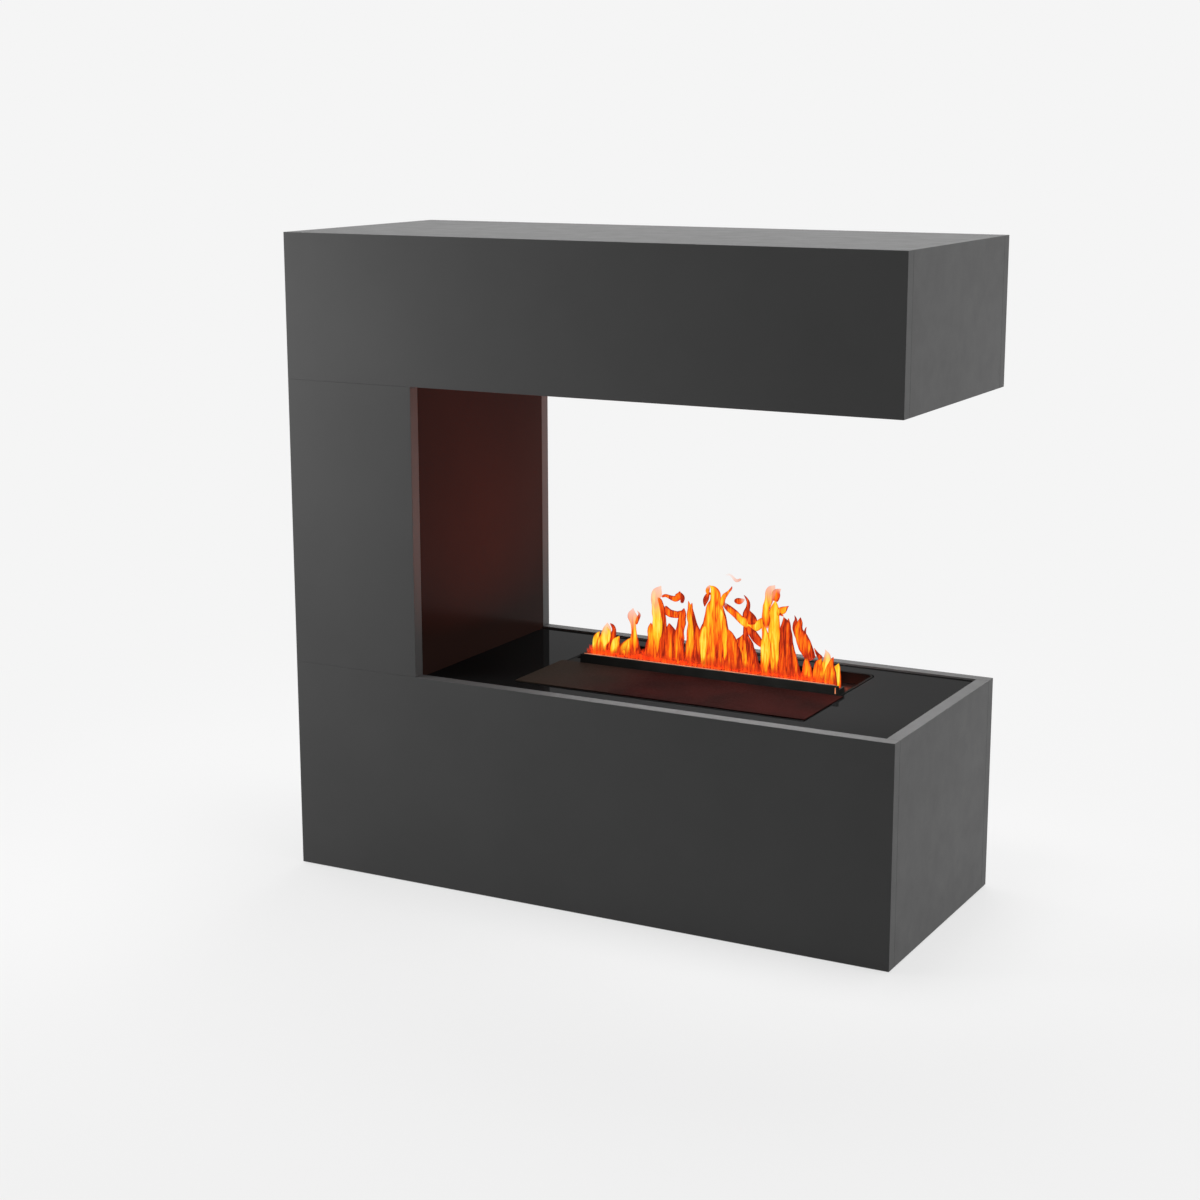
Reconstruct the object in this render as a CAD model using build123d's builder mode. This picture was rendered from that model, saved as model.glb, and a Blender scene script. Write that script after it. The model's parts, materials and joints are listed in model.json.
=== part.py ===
from build123d import *
from math import cos, radians, sin
import os

# A free-standing water vapour fireplace, C-shaped and made of three board boxes: a long lower box
# with the burner in its glass deck, a column on the left, and an upper box carried by the column.
# Millimetres, +Z up, +X to the right, the front towards -Y. The origin is the middle of the base.

os.makedirs("parts", exist_ok=True)

# Overall sizes
overall_width = 900
overall_depth = 370
overall_height = 900
lower_height = 300
upper_height = 200
column_width = 200

# Boards and how they meet
board = 18
edge_round = 0.5
glide_height = 2
glide_radius = 14
glide_inset = 40
batten_height = 18
batten_depth = 18

# Glass deck and its cut-out, midway between the column and the right side panel
deck_recess = 2.5
deck_glass_thickness = 4
deck_glass_gap = 0.4
cutout_width = 420
cutout_depth = 260
cutout_shift = 4
cutout_corner = 15
shelf_height = 100
shelf_overhang = 30

# Bolts that hold the column to the boxes
bolt_radius = 4
bolt_clearance = 0.5
bolt_head_radius = 7
bolt_head_height = 5
bolt_socket_radius = 4
bolt_socket_sides = 6
bolt_socket_depth = 2.5
bolt_spacing = 100
insert_radius = 6
insert_length = 15
rail_depth = 60

# Angle brackets and screws in the box corners
bracket_leg = 26
bracket_width = 20
bracket_thickness = 2
bracket_hole_offset = 17
bracket_gap = 30
screw_radius = 1.75
screw_clearance = 0.35
screw_length = 14
screw_head_radius = 3.6
screw_head_height = 2

# Openings in the rear panel
vent_width = 220
vent_height = 60
vent_centre_height = 160
grille_flange = 10
grille_flange_thickness = 3
grille_wall = 3
grille_slats = 5
grille_slat_thickness = 2.5
flange_gap = 0.5
cable_hole_radius = 30
cable_hole_inset = 120
cable_hole_height = 70
grommet_flange = 6
grommet_flange_thickness = 2.5
grommet_wall = 3

# Burner cassette
sheet = 1.2
casing_clearance = 2
casing_rise = 0.3
foot_height = 3
foot_radius = 10
foot_inset = 30
cassette_gap = 2

# Slotted bar that the flames stand in
nozzle_front = 0
nozzle_depth = 24
nozzle_left_gap = 22
nozzle_side_gap = 0.4
nozzle_rise = 14
nozzle_front_wall = 4
nozzle_wall = 2.2
nozzle_skirt = 28
nozzle_lip_drop = 5.5
nozzle_overlap = 9
slot_width = 10
slit_width = 2
slit_height = 9
slit_inset = 4
slit_top_drop = 2

# Sump, its lid and the duct
sump_floor_height = 18
sump_wall = 2.5
sump_height = 52
sump_front_gap = 24
sump_rear = 66
sump_lid_thickness = 3
duct_wall = 2
duct_gap = 0.5
disc_count = 3
disc_spacing = 120
disc_radius = 10
disc_thickness = 2
disc_flange_radius = 13
disc_flange_thickness = 2
disc_cup_radius = 15
disc_cup_height = 8
seal_thickness = 0.9

# Water tank
tank_left_gap = 12
tank_front_gap = 5
tank_width = 254
tank_depth = 112
tank_body_height = 108
tank_corner = 12
tank_top_round = 4
tank_wall = 2.2
tank_lift_gap = 2
neck_radius = 17
neck_height = 12
neck_wall = 2.5
cap_radius = 22
cap_height = 18
cap_wall = 2.5
cap_gap = 0.3
cap_hole_gap = 2
cap_ribs = 12
cap_rib_radius = 1
cap_x_inset = 45
handle_length = 110
handle_width = 16
handle_rise = 24
handle_bar = 6
pin_radius = 2.5
pin_gap = 0.3
pin_stroke = 3
pin_plate_radius = 12
pin_plate_thickness = 2.5
post_radius = 4

# Fan and its filter
fan_size = 80
fan_thickness = 25
fan_corner = 6
fan_bore_radius = 38
fan_hub_radius = 15
fan_hub_height = 4
fan_strut = 4
fan_hole_radius = 2.2
fan_hole_spacing = 71.5
fan_shaft_radius = 2.5
fan_shaft_clearance = 0.05
fan_shaft_height = 14
fan_rotor_gap = 1
rotor_hub_radius = 17
rotor_hub_height = 16
blade_count = 7
blade_tip_radius = 35.5
blade_chord = 19
blade_thickness = 1.6
blade_pitch = 38
filter_height = 12
filter_wall = 3
filter_foam_thickness = 8

# Control panel under the cover
panel_drop = 27
panel_thickness = 2.5
panel_left_gap = 8
panel_edge_gap = 4.5
panel_skirt = 34
panel_skirt_wall = 2
board_drop = 18
circuit_board_thickness = 1.6
knob_radius = 12
knob_edge_round = 1
knob_x_offset = -4
knob_y_offset = 12
knob_height = 13
knob_gap = 1
knob_stem_radius = 3
knob_stem_clearance = 0.05
knob_stem_length = 12
knob_mark = 1
button_count = 3
button_radius = 4
button_clearance = 0.3
button_rise = 4
button_flange_radius = 5.2
button_flange_thickness = 1.2
button_stroke = 1.5
button_spacing = 16
button_inset = 24
rocker_length = 18
rocker_width = 10.4
rocker_y_offset = -24
rocker_tilt = 10
rocker_gap = 0.6
rocker_pin_radius = 1
rocker_pin_clearance = 0.05
rocker_flange = 2.5
rocker_body_depth = 14
rocker_flange_thickness = 1
rocker_wall = 2
rocker_pivot_drop = 2
rocker_rise = 5
rocker_hollow = 3.4
rocker_keel = 3

# Electrics behind the sump
supply_width = 140
supply_depth = 48
supply_height = 40
supply_corner = 2
driver_width = 190
driver_depth = 44
driver_standoff = 8
standoff_radius = 4
standoff_inset = 8
coil_radius = 8
coil_height = 16
inlet_width = 27
inlet_height = 20
inlet_depth = 16
inlet_wall = 2
inlet_flange = 6
inlet_flange_thickness = 2
inlet_x_inset = 70
inlet_centre_height = 190
inlet_blade = 2
inlet_blade_width = 4
inlet_blade_length = 8
inlet_blade_spacing = 6.75
louvre_count = 8
louvre_width = 3
louvre_length = 40
louvre_spacing = 12
louvre_x_inset = 60
louvre_height = 215

# Lamps
lamp_board_height = 12
lamp_board_thickness = 1.6
lamp_count = 24
lamp_size = 5
lamp_thickness = 1.5

# Rear tray and its screws
tray_depth = 16
tray_gap = 0.4
tray_screw_radius = 1.5
tray_screw_head_radius = 3
tray_screw_head_height = 1.8
tray_screw_length = 8
tray_screw_inset = 14
tray_screw_drive_length = 3
tray_screw_drive_width = 0.5
tray_screw_drive_depth = 0.9
ledge_width = 28

# Cover plate over the tank and the controls
cover_overlap = 4.5
cover_thickness = 1.5
cover_rear_gap = 0.5
cover_tab_depth = 9
cover_tab_gap = 1
cover_tab_length = 60

# Flames, drawn as tongues of lit vapour: place along the slot, height, width and lean of each
flame_base_drop = 4
flame_thickness = 8
flame_root_height = 12
flame_arch_rise = 30
flame_arch_thickness = 4
flame_end_gap = 8
tongues = [
    (0.075, 46, 20, -4),
    (0.195, 68, 18, 8),
    (0.305, 112, 38, -6),
    (0.420, 92, 16, 7),
    (0.505, 118, 44, 2),
    (0.590, 98, 14, 16),
    (0.670, 106, 30, -14),
    (0.760, 126, 40, 2),
    (0.855, 92, 22, -10),
    (0.950, 48, 26, 6),
]

# Each tongue's sections: share of its height, and there its share of width and of thickness
tongue_sections = [
    (0, 1, 1),
    (0.3, 0.95, 0.95),
    (0.6, 0.6, 0.8),
    (0.85, 0.3, 0.55),
    (1, 0.04, 0.12),
]

# Planes that the pieces share
left_face = -overall_width / 2
right_face = overall_width / 2
front_face = -overall_depth / 2
rear_face = overall_depth / 2
left_inner = left_face + board
right_inner = right_face - board
front_inner = front_face + board
rear_inner = rear_face - board
column_face = left_face + column_width
column_inner = column_face - board
upper_bottom = overall_height - upper_height
deck_top = lower_height - deck_recess
deck_board_top = deck_top - deck_glass_thickness
deck_board_bottom = deck_board_top - board
cable_hole_x = right_face - cable_hole_inset
cutout_x = (column_face + right_inner) / 2
cutout_y = cutout_shift
cutout_front = cutout_y - cutout_depth / 2

casing_width = cutout_width - 2 * casing_clearance
casing_depth = cutout_depth - 2 * casing_clearance
casing_corner = cutout_corner - casing_clearance
casing_bottom = shelf_height + foot_height
casing_rim = deck_top + casing_rise
casing_left = cutout_x - casing_width / 2 + sheet
casing_right = cutout_x + casing_width / 2 - sheet
casing_front = cutout_y - casing_depth / 2 + sheet
casing_rear = cutout_y + casing_depth / 2 - sheet
casing_floor = casing_bottom + sheet

nozzle_left = casing_left + nozzle_left_gap
nozzle_right = casing_right - nozzle_side_gap
nozzle_middle = (nozzle_left + nozzle_right) / 2
nozzle_rear = nozzle_front + nozzle_depth
nozzle_top = deck_top + nozzle_rise
nozzle_lip = nozzle_top - nozzle_lip_drop
nozzle_bottom = deck_top - nozzle_skirt
slot_front = nozzle_front + nozzle_front_wall
slot_rear = slot_front + slot_width

sump_left = casing_left + cassette_gap
sump_right = casing_right - cassette_gap
sump_front = casing_front + sump_front_gap
sump_floor = casing_floor + sump_floor_height
sump_rim = casing_floor + sump_height
lid_top = sump_rim + sump_lid_thickness
duct_left = nozzle_left + nozzle_wall + duct_gap
duct_right = nozzle_right - nozzle_wall - duct_gap
duct_front = slot_front + duct_gap
duct_rear = nozzle_rear - nozzle_wall - duct_gap
duct_top = nozzle_bottom + nozzle_overlap
disc_y = (duct_front + duct_rear) / 2
disc_seat = sump_floor - sump_wall

tank_left = casing_left + tank_left_gap
tank_right = tank_left + tank_width
tank_front = casing_front + tank_front_gap
tank_rear = tank_front + tank_depth
tank_x = (tank_left + tank_right) / 2
tank_y = (tank_front + tank_rear) / 2
tank_bottom = lid_top + tank_lift_gap
tank_top = tank_bottom + tank_body_height
cap_x = tank_left + cap_x_inset
cap_bottom = tank_bottom - cap_height
pin_bottom = cap_bottom - pin_stroke

panel_left = tank_right + panel_left_gap
panel_right = casing_right - panel_edge_gap
panel_front = casing_front + panel_edge_gap
panel_rear = nozzle_front - panel_edge_gap
panel_x = (panel_left + panel_right) / 2
panel_y = (panel_front + panel_rear) / 2
panel_top = casing_rim - panel_drop
panel_bottom = panel_top - panel_thickness
board_top = panel_bottom - board_drop
board_bottom = board_top - circuit_board_thickness
fan_x = panel_x
fan_y = panel_y
fan_top = lid_top + fan_thickness
knob_x = panel_x + knob_x_offset
knob_y = panel_y + knob_y_offset
rocker_x = knob_x
rocker_y = panel_y + rocker_y_offset
rocker_pivot = panel_top - rocker_pivot_drop


def save(builder, name):
    builder.part.label = name
    export_step(builder.part, f"parts/{name}.step")


def block(x_span, y_span, z_span, mode=Mode.ADD):
    # A box between two planes along each axis, in the part being built
    spans = (x_span, y_span, z_span)
    with Locations(tuple(sum(span) / 2 for span in spans)):
        Box(*(abs(span[1] - span[0]) for span in spans), mode=mode)


def upright(x, y, radius, z_span, mode=Mode.ADD):
    # A vertical cylinder between two heights, in the part being built
    with Locations((x, y, sum(z_span) / 2)):
        Cylinder(radius, abs(z_span[1] - z_span[0]), mode=mode)


def widened(span, margin):
    return (span[0] - margin, span[1] + margin)


# Plain boards of the three boxes: spans along X, Y and Z
side_depth = (front_inner, rear_inner)
lower_span = (glide_height, lower_height)
column_span = (lower_height, upper_bottom)
upper_span = (upper_bottom, overall_height)
front_depth = (front_face, front_inner)
rear_depth = (rear_inner, rear_face)
full_width = (left_face, right_face)
inner_width = (left_inner, right_inner)
column_width_span = (left_face, column_face)
left_board = (left_face, left_inner)
right_board = (right_inner, right_face)
column_inner_board = (column_inner, column_face)

plain_boards = {
    "lower_front_panel": (full_width, front_depth, lower_span),
    "lower_left_side": (left_board, side_depth, lower_span),
    "lower_right_side": (right_board, side_depth, lower_span),
    "lower_bottom_panel": (inner_width, side_depth, (glide_height, glide_height + board)),
    "column_front_panel": (column_width_span, front_depth, column_span),
    "column_rear_panel": (column_width_span, rear_depth, column_span),
    "column_outer_side": (left_board, side_depth, column_span),
    "column_inner_side": (column_inner_board, side_depth, (deck_board_top, upper_bottom)),
    "upper_front_panel": (full_width, front_depth, upper_span),
    "upper_rear_panel": (full_width, rear_depth, upper_span),
    "upper_left_side": (left_board, side_depth, upper_span),
    "upper_right_side": (right_board, side_depth, upper_span),
    "upper_top_panel": (inner_width, side_depth, (overall_height - board, overall_height)),
    "upper_divider": (
        column_inner_board,
        side_depth,
        (upper_bottom + board, overall_height - board),
    ),
}

for name, spans in plain_boards.items():
    with BuildPart() as panel:
        block(*spans)
        fillet(panel.edges(), radius=edge_round)
    save(panel, name)

# Where the bolts stand: two in each rail, front and rear
column_centre = (left_inner + column_inner) / 2
rail_centre_y = rear_inner - rail_depth / 2
bolt_places = [
    (column_centre + side * bolt_spacing / 2, end * rail_centre_y)
    for side in (-1, 1)
    for end in (-1, 1)
]

# Bottom board of the upper box, bored for the bolts
with BuildPart() as upper_bottom_panel:
    block(inner_width, side_depth, (upper_bottom, upper_bottom + board))
    fillet(upper_bottom_panel.edges(), radius=edge_round)
    for x, y in bolt_places:
        upright(
            x, y, bolt_radius + bolt_clearance, (upper_bottom, upper_bottom + board), Mode.SUBTRACT
        )
save(upper_bottom_panel, "upper_bottom_panel")

# Rails at the foot and the head of the column: the foot rails stand on the deck board
foot_rail = (deck_board_top, deck_board_top + board)
head_rail = (upper_bottom - board, upper_bottom)
foot_rail_insert = (deck_board_top - insert_length, deck_board_top)
head_rail_insert = (upper_bottom - insert_length, upper_bottom)

with BuildPart() as column_rails:
    for end in (-1, 1):
        rail_span = (end * rear_inner, end * (rear_inner - rail_depth))
        block((left_inner, column_inner), rail_span, foot_rail)
        block((left_inner, column_inner), rail_span, head_rail)
    for x, y in bolt_places:
        upright(x, y, bolt_radius + bolt_clearance, foot_rail, Mode.SUBTRACT)
        upright(x, y, bolt_radius + bolt_clearance, head_rail, Mode.SUBTRACT)
        upright(x, y, insert_radius, head_rail_insert, Mode.SUBTRACT)
save(column_rails, "column_rails")

# Threaded inserts, in the deck board and in the head rails
with BuildPart() as insert_nuts:
    for x, y in bolt_places:
        for insert_span in (foot_rail_insert, head_rail_insert):
            upright(x, y, insert_radius, insert_span)
            upright(x, y, bolt_radius, insert_span, Mode.SUBTRACT)
save(insert_nuts, "insert_nuts")

# Bolts, driven down through each rail or board into its insert
with BuildPart() as joining_bolts:
    for x, y in bolt_places:
        for seat, tip in (
            (foot_rail[1], foot_rail_insert[0]),
            (upper_bottom + board, head_rail_insert[0]),
        ):
            upright(x, y, bolt_radius, (tip, seat))
            upright(x, y, bolt_head_radius, (seat, seat + bolt_head_height))
            with BuildSketch(Plane.XY.offset(seat + bolt_head_height)):
                with Locations((x, y)):
                    RegularPolygon(bolt_socket_radius, bolt_socket_sides)
            extrude(amount=-bolt_socket_depth, mode=Mode.SUBTRACT)
save(joining_bolts, "joining_bolts")

# Deck board with the cut-out that the cassette stands in
with BuildPart() as deck_board:
    block(inner_width, side_depth, (deck_board_bottom, deck_board_top))
    with BuildSketch(Plane.XY.offset(deck_board_bottom)):
        with Locations((cutout_x, cutout_y)):
            RectangleRounded(cutout_width, cutout_depth, cutout_corner)
    extrude(amount=board, mode=Mode.SUBTRACT)
    for x, y in bolt_places:
        upright(x, y, insert_radius, foot_rail_insert, Mode.SUBTRACT)
save(deck_board, "deck_board")

# Black glass that lies on the deck board, from the column to the right side panel
with BuildPart() as deck_glass:
    block(
        (column_face + deck_glass_gap, right_inner - deck_glass_gap),
        (front_inner + deck_glass_gap, rear_inner - deck_glass_gap),
        (deck_board_top, deck_top),
    )
    with BuildSketch(Plane.XY.offset(deck_board_top)):
        with Locations((cutout_x, cutout_y)):
            RectangleRounded(cutout_width, cutout_depth, cutout_corner)
    extrude(amount=deck_glass_thickness, mode=Mode.SUBTRACT)
    fillet(deck_glass.faces().sort_by(Axis.Z)[-1].edges(), radius=edge_round)
save(deck_glass, "deck_glass")

# Shelf for the cassette, and the battens that carry the shelf and the deck board
shelf_span = (
    cutout_x - cutout_width / 2 - shelf_overhang,
    cutout_x + cutout_width / 2 + shelf_overhang,
)
with BuildPart() as cassette_shelf:
    block(shelf_span, side_depth, (shelf_height - board, shelf_height))
    fillet(cassette_shelf.edges(), radius=edge_round)
save(cassette_shelf, "cassette_shelf")

with BuildPart() as support_battens:
    for x_span, top in ((inner_width, deck_board_bottom), (shelf_span, shelf_height - board)):
        for end in (-1, 1):
            block(
                x_span,
                (end * rear_inner, end * (rear_inner - batten_depth)),
                (top - batten_height, top),
            )
save(support_battens, "support_battens")

# Rear panel of the lower box, open for the air vent and for the mains lead, with a rebate round
# each opening that takes the flange of its grille or ring
vent_x_span = (cutout_x - vent_width / 2, cutout_x + vent_width / 2)
vent_z_span = (vent_centre_height - vent_height / 2, vent_centre_height + vent_height / 2)
cable_plane = Plane(
    origin=(cable_hole_x, rear_face, cable_hole_height), x_dir=(1, 0, 0), z_dir=(0, 1, 0)
)

with BuildPart() as lower_rear_panel:
    block(full_width, rear_depth, lower_span)
    fillet(lower_rear_panel.edges(), radius=edge_round)
    block(vent_x_span, rear_depth, vent_z_span, Mode.SUBTRACT)
    block(
        widened(vent_x_span, grille_flange),
        (rear_face - grille_flange_thickness, rear_face),
        widened(vent_z_span, grille_flange),
        Mode.SUBTRACT,
    )
    with BuildSketch(cable_plane):
        Circle(cable_hole_radius)
    extrude(amount=-board, mode=Mode.SUBTRACT)
    with BuildSketch(cable_plane):
        Circle(cable_hole_radius + grommet_flange)
    extrude(amount=-grommet_flange_thickness, mode=Mode.SUBTRACT)
save(lower_rear_panel, "lower_rear_panel")

# Slatted grille in the air vent, its flange flush with the panel
grille_x_span = widened(vent_x_span, -flange_gap)
grille_z_span = widened(vent_z_span, -flange_gap)
air_x_span = widened(grille_x_span, -grille_wall)
air_z_span = widened(grille_z_span, -grille_wall)
slat_pitch = (air_z_span[1] - air_z_span[0]) / (grille_slats + 1)
with BuildPart() as rear_grille:
    block(
        widened(grille_x_span, grille_flange),
        (rear_face - grille_flange_thickness, rear_face),
        widened(grille_z_span, grille_flange),
    )
    block(grille_x_span, rear_depth, grille_z_span)
    block(air_x_span, rear_depth, air_z_span, Mode.SUBTRACT)
    for slat in range(1, grille_slats + 1):
        slat_z = air_z_span[0] + slat * slat_pitch
        block(
            air_x_span,
            rear_depth,
            (slat_z - grille_slat_thickness / 2, slat_z + grille_slat_thickness / 2),
        )
save(rear_grille, "rear_grille")

# Ring that lines the hole for the mains lead, its flange flush with the panel
with BuildPart() as cable_grommet:
    with BuildSketch(cable_plane):
        Circle(cable_hole_radius + grommet_flange - flange_gap)
    extrude(amount=-grommet_flange_thickness)
    with BuildSketch(cable_plane):
        Circle(cable_hole_radius - flange_gap)
    extrude(amount=-board)
    with BuildSketch(cable_plane):
        Circle(cable_hole_radius - flange_gap - grommet_wall)
    extrude(amount=-board, mode=Mode.SUBTRACT)
save(cable_grommet, "cable_grommet")

# Plastic glides under the lower box
glide_x = overall_width / 2 - glide_inset
glide_y = overall_depth / 2 - glide_inset
with BuildPart() as base_glides:
    for x in (-glide_x, 0, glide_x):
        for y in (-glide_y, glide_y):
            upright(x, y, glide_radius, (0, glide_height))
save(base_glides, "base_glides")

# Angle brackets in the corners of the boxes, near their boards, and the screws in their legs
lower_bracket_heights = (
    glide_height + board + bracket_gap,
    deck_board_bottom - batten_height - bracket_gap,
)
column_bracket_heights = (foot_rail[1] + bracket_gap, head_rail[0] - bracket_gap)
upper_bracket_heights = ((upper_bottom + overall_height) / 2,)
bracket_corners = [
    (x_face, x_way, y_way, z)
    for x_left, x_right, heights in (
        (left_inner, right_inner, lower_bracket_heights),
        (left_inner, column_inner, column_bracket_heights),
        (left_inner, right_inner, upper_bracket_heights),
    )
    for x_face, x_way in ((x_left, 1), (x_right, -1))
    for y_way in (1, -1)
    for z in heights
]
with BuildPart() as corner_brackets:
    for x_face, x_way, y_way, z in bracket_corners:
        y_face = -y_way * rear_inner
        z_span = (z - bracket_width / 2, z + bracket_width / 2)
        block(
            (x_face, x_face + x_way * bracket_leg),
            (y_face, y_face + y_way * bracket_thickness),
            z_span,
        )
        block(
            (x_face, x_face + x_way * bracket_thickness),
            (y_face, y_face + y_way * bracket_leg),
            z_span,
        )
        with Locations(
            Plane(
                origin=(x_face + x_way * bracket_hole_offset, y_face, z),
                z_dir=(0, y_way, 0),
            ),
            Plane(
                origin=(x_face, y_face + y_way * bracket_hole_offset, z),
                z_dir=(x_way, 0, 0),
            ),
        ):
            Cylinder(
                screw_radius + screw_clearance,
                bracket_thickness,
                align=(Align.CENTER, Align.CENTER, Align.MIN),
                mode=Mode.SUBTRACT,
            )
save(corner_brackets, "corner_brackets")

with BuildPart() as bracket_screws:
    for x_face, x_way, y_way, z in bracket_corners:
        y_face = -y_way * rear_inner
        with Locations(
            Plane(
                origin=(
                    x_face + x_way * bracket_hole_offset,
                    y_face + y_way * bracket_thickness,
                    z,
                ),
                z_dir=(0, y_way, 0),
            ),
            Plane(
                origin=(
                    x_face + x_way * bracket_thickness,
                    y_face + y_way * bracket_hole_offset,
                    z,
                ),
                z_dir=(x_way, 0, 0),
            ),
        ):
            Cylinder(
                screw_head_radius,
                screw_head_height,
                align=(Align.CENTER, Align.CENTER, Align.MIN),
            )
            Cylinder(
                screw_radius,
                screw_length,
                align=(Align.CENTER, Align.CENTER, Align.MAX),
            )
save(bracket_screws, "bracket_screws")

# Where the sunken tray lies, and its screws
tray_left = casing_left + tray_gap
tray_right = casing_right - tray_gap
tray_front = nozzle_rear + tray_gap
tray_rear = casing_rear - tray_gap
tray_floor = casing_rim - tray_depth
tray_corner = casing_corner - sheet - tray_gap
tray_x = (tray_left + tray_right) / 2
tray_y = (tray_front + tray_rear) / 2
tray_width = tray_right - tray_left
tray_length = tray_rear - tray_front
tray_screw_places = [
    (x, y)
    for x in (tray_left + tray_screw_inset, tray_right - tray_screw_inset)
    for y in (tray_front + tray_screw_inset, tray_rear - tray_screw_inset)
]
ledge_top = tray_floor - sheet

# Sheet steel casing of the burner cassette, open at the top, with two ledges for the tray
inlet_x = casing_right - inlet_x_inset
casing_back = casing_rear + sheet
inlet_plane = Plane(
    origin=(inlet_x, casing_back, inlet_centre_height), x_dir=(1, 0, 0), z_dir=(0, 1, 0)
)
louvre_plane = Plane(
    origin=(casing_left + louvre_x_inset, casing_back, louvre_height),
    x_dir=(1, 0, 0),
    z_dir=(0, 1, 0),
)
with BuildPart() as burner_casing:
    with BuildSketch(Plane.XY.offset(casing_bottom)):
        with Locations((cutout_x, cutout_y)):
            RectangleRounded(casing_width, casing_depth, casing_corner)
    extrude(amount=casing_rim - casing_bottom)
    with BuildSketch(Plane.XY.offset(casing_floor)):
        with Locations((cutout_x, cutout_y)):
            RectangleRounded(
                casing_width - 2 * sheet, casing_depth - 2 * sheet, casing_corner - sheet
            )
    extrude(amount=casing_rim - casing_floor, mode=Mode.SUBTRACT)
    with BuildSketch(inlet_plane):
        Rectangle(inlet_width, inlet_height)
    extrude(amount=-sheet, mode=Mode.SUBTRACT)
    with BuildSketch(louvre_plane):
        with GridLocations(louvre_spacing, 0, louvre_count, 1):
            SlotOverall(louvre_length, louvre_width, rotation=90)
    extrude(amount=-sheet, mode=Mode.SUBTRACT)
    for x, way in ((casing_left, 1), (casing_right, -1)):
        ledge_depth = (tray_front, tray_rear - tray_corner)
        block((x, x + way * ledge_width), ledge_depth, (ledge_top - sheet, ledge_top))
    for x, y in tray_screw_places:
        upright(x, y, tray_screw_radius, (ledge_top - sheet, ledge_top), Mode.SUBTRACT)
save(burner_casing, "burner_casing")

# Rubber feet under the casing
with BuildPart() as casing_feet:
    for x in (casing_left + foot_inset, casing_right - foot_inset):
        for y in (casing_front + foot_inset, casing_rear - foot_inset):
            upright(x, y, foot_radius, (shelf_height, casing_bottom))
save(casing_feet, "casing_feet")

# Sump: a basin above the floor, and a skirt below it for the discs
disc_places = [
    (nozzle_middle + (number - (disc_count - 1) / 2) * disc_spacing, disc_y)
    for number in range(disc_count)
]
with BuildPart() as sump_tray:
    block((sump_left, sump_right), (sump_front, sump_rear), (casing_floor, sump_rim))
    inner_x = (sump_left + sump_wall, sump_right - sump_wall)
    inner_y = (sump_front + sump_wall, sump_rear - sump_wall)
    block(inner_x, inner_y, (sump_floor, sump_rim), Mode.SUBTRACT)
    block(inner_x, inner_y, (casing_floor, disc_seat), Mode.SUBTRACT)
    upright(cap_x, tank_y, post_radius, (sump_floor, pin_bottom))
    for x, y in disc_places:
        upright(x, y, disc_radius, (disc_seat, sump_floor), Mode.SUBTRACT)
save(sump_tray, "sump_tray")

# Ultrasonic discs in the sump floor, each a raised disc on a flange
with BuildPart() as ultrasonic_discs:
    for x, y in disc_places:
        upright(x, y, disc_flange_radius, (disc_seat - disc_flange_thickness, disc_seat))
        upright(x, y, disc_radius - seal_thickness, (disc_seat, disc_seat + disc_thickness))
save(ultrasonic_discs, "ultrasonic_discs")

with BuildPart() as disc_seals:
    for x, y in disc_places:
        upright(x, y, disc_radius, (disc_seat, disc_seat + seal_thickness))
        upright(
            x, y, disc_radius - seal_thickness, (disc_seat, disc_seat + seal_thickness), Mode.SUBTRACT
        )
save(disc_seals, "disc_seals")

with BuildPart() as disc_cups:
    for x, y in disc_places:
        upright(x, y, disc_cup_radius, (disc_seat - disc_cup_height, disc_seat))
        upright(
            x, y, disc_flange_radius, (disc_seat - disc_flange_thickness, disc_seat), Mode.SUBTRACT
        )
save(disc_cups, "disc_cups")

# Lid of the sump, with the duct that leads the mist up to the slot
with BuildPart() as sump_lid:
    block((sump_left, sump_right), (sump_front, sump_rear), (sump_rim, lid_top))
    block((duct_left, duct_right), (duct_front, duct_rear), (lid_top, duct_top))
    block(
        (duct_left + duct_wall, duct_right - duct_wall),
        (duct_front + duct_wall, duct_rear - duct_wall),
        (sump_rim, duct_top),
        Mode.SUBTRACT,
    )
    upright(cap_x, tank_y, cap_radius + cap_hole_gap, (sump_rim, lid_top), Mode.SUBTRACT)
    upright(fan_x, fan_y, fan_bore_radius, (sump_rim, lid_top), Mode.SUBTRACT)
save(sump_lid, "sump_lid")

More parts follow.
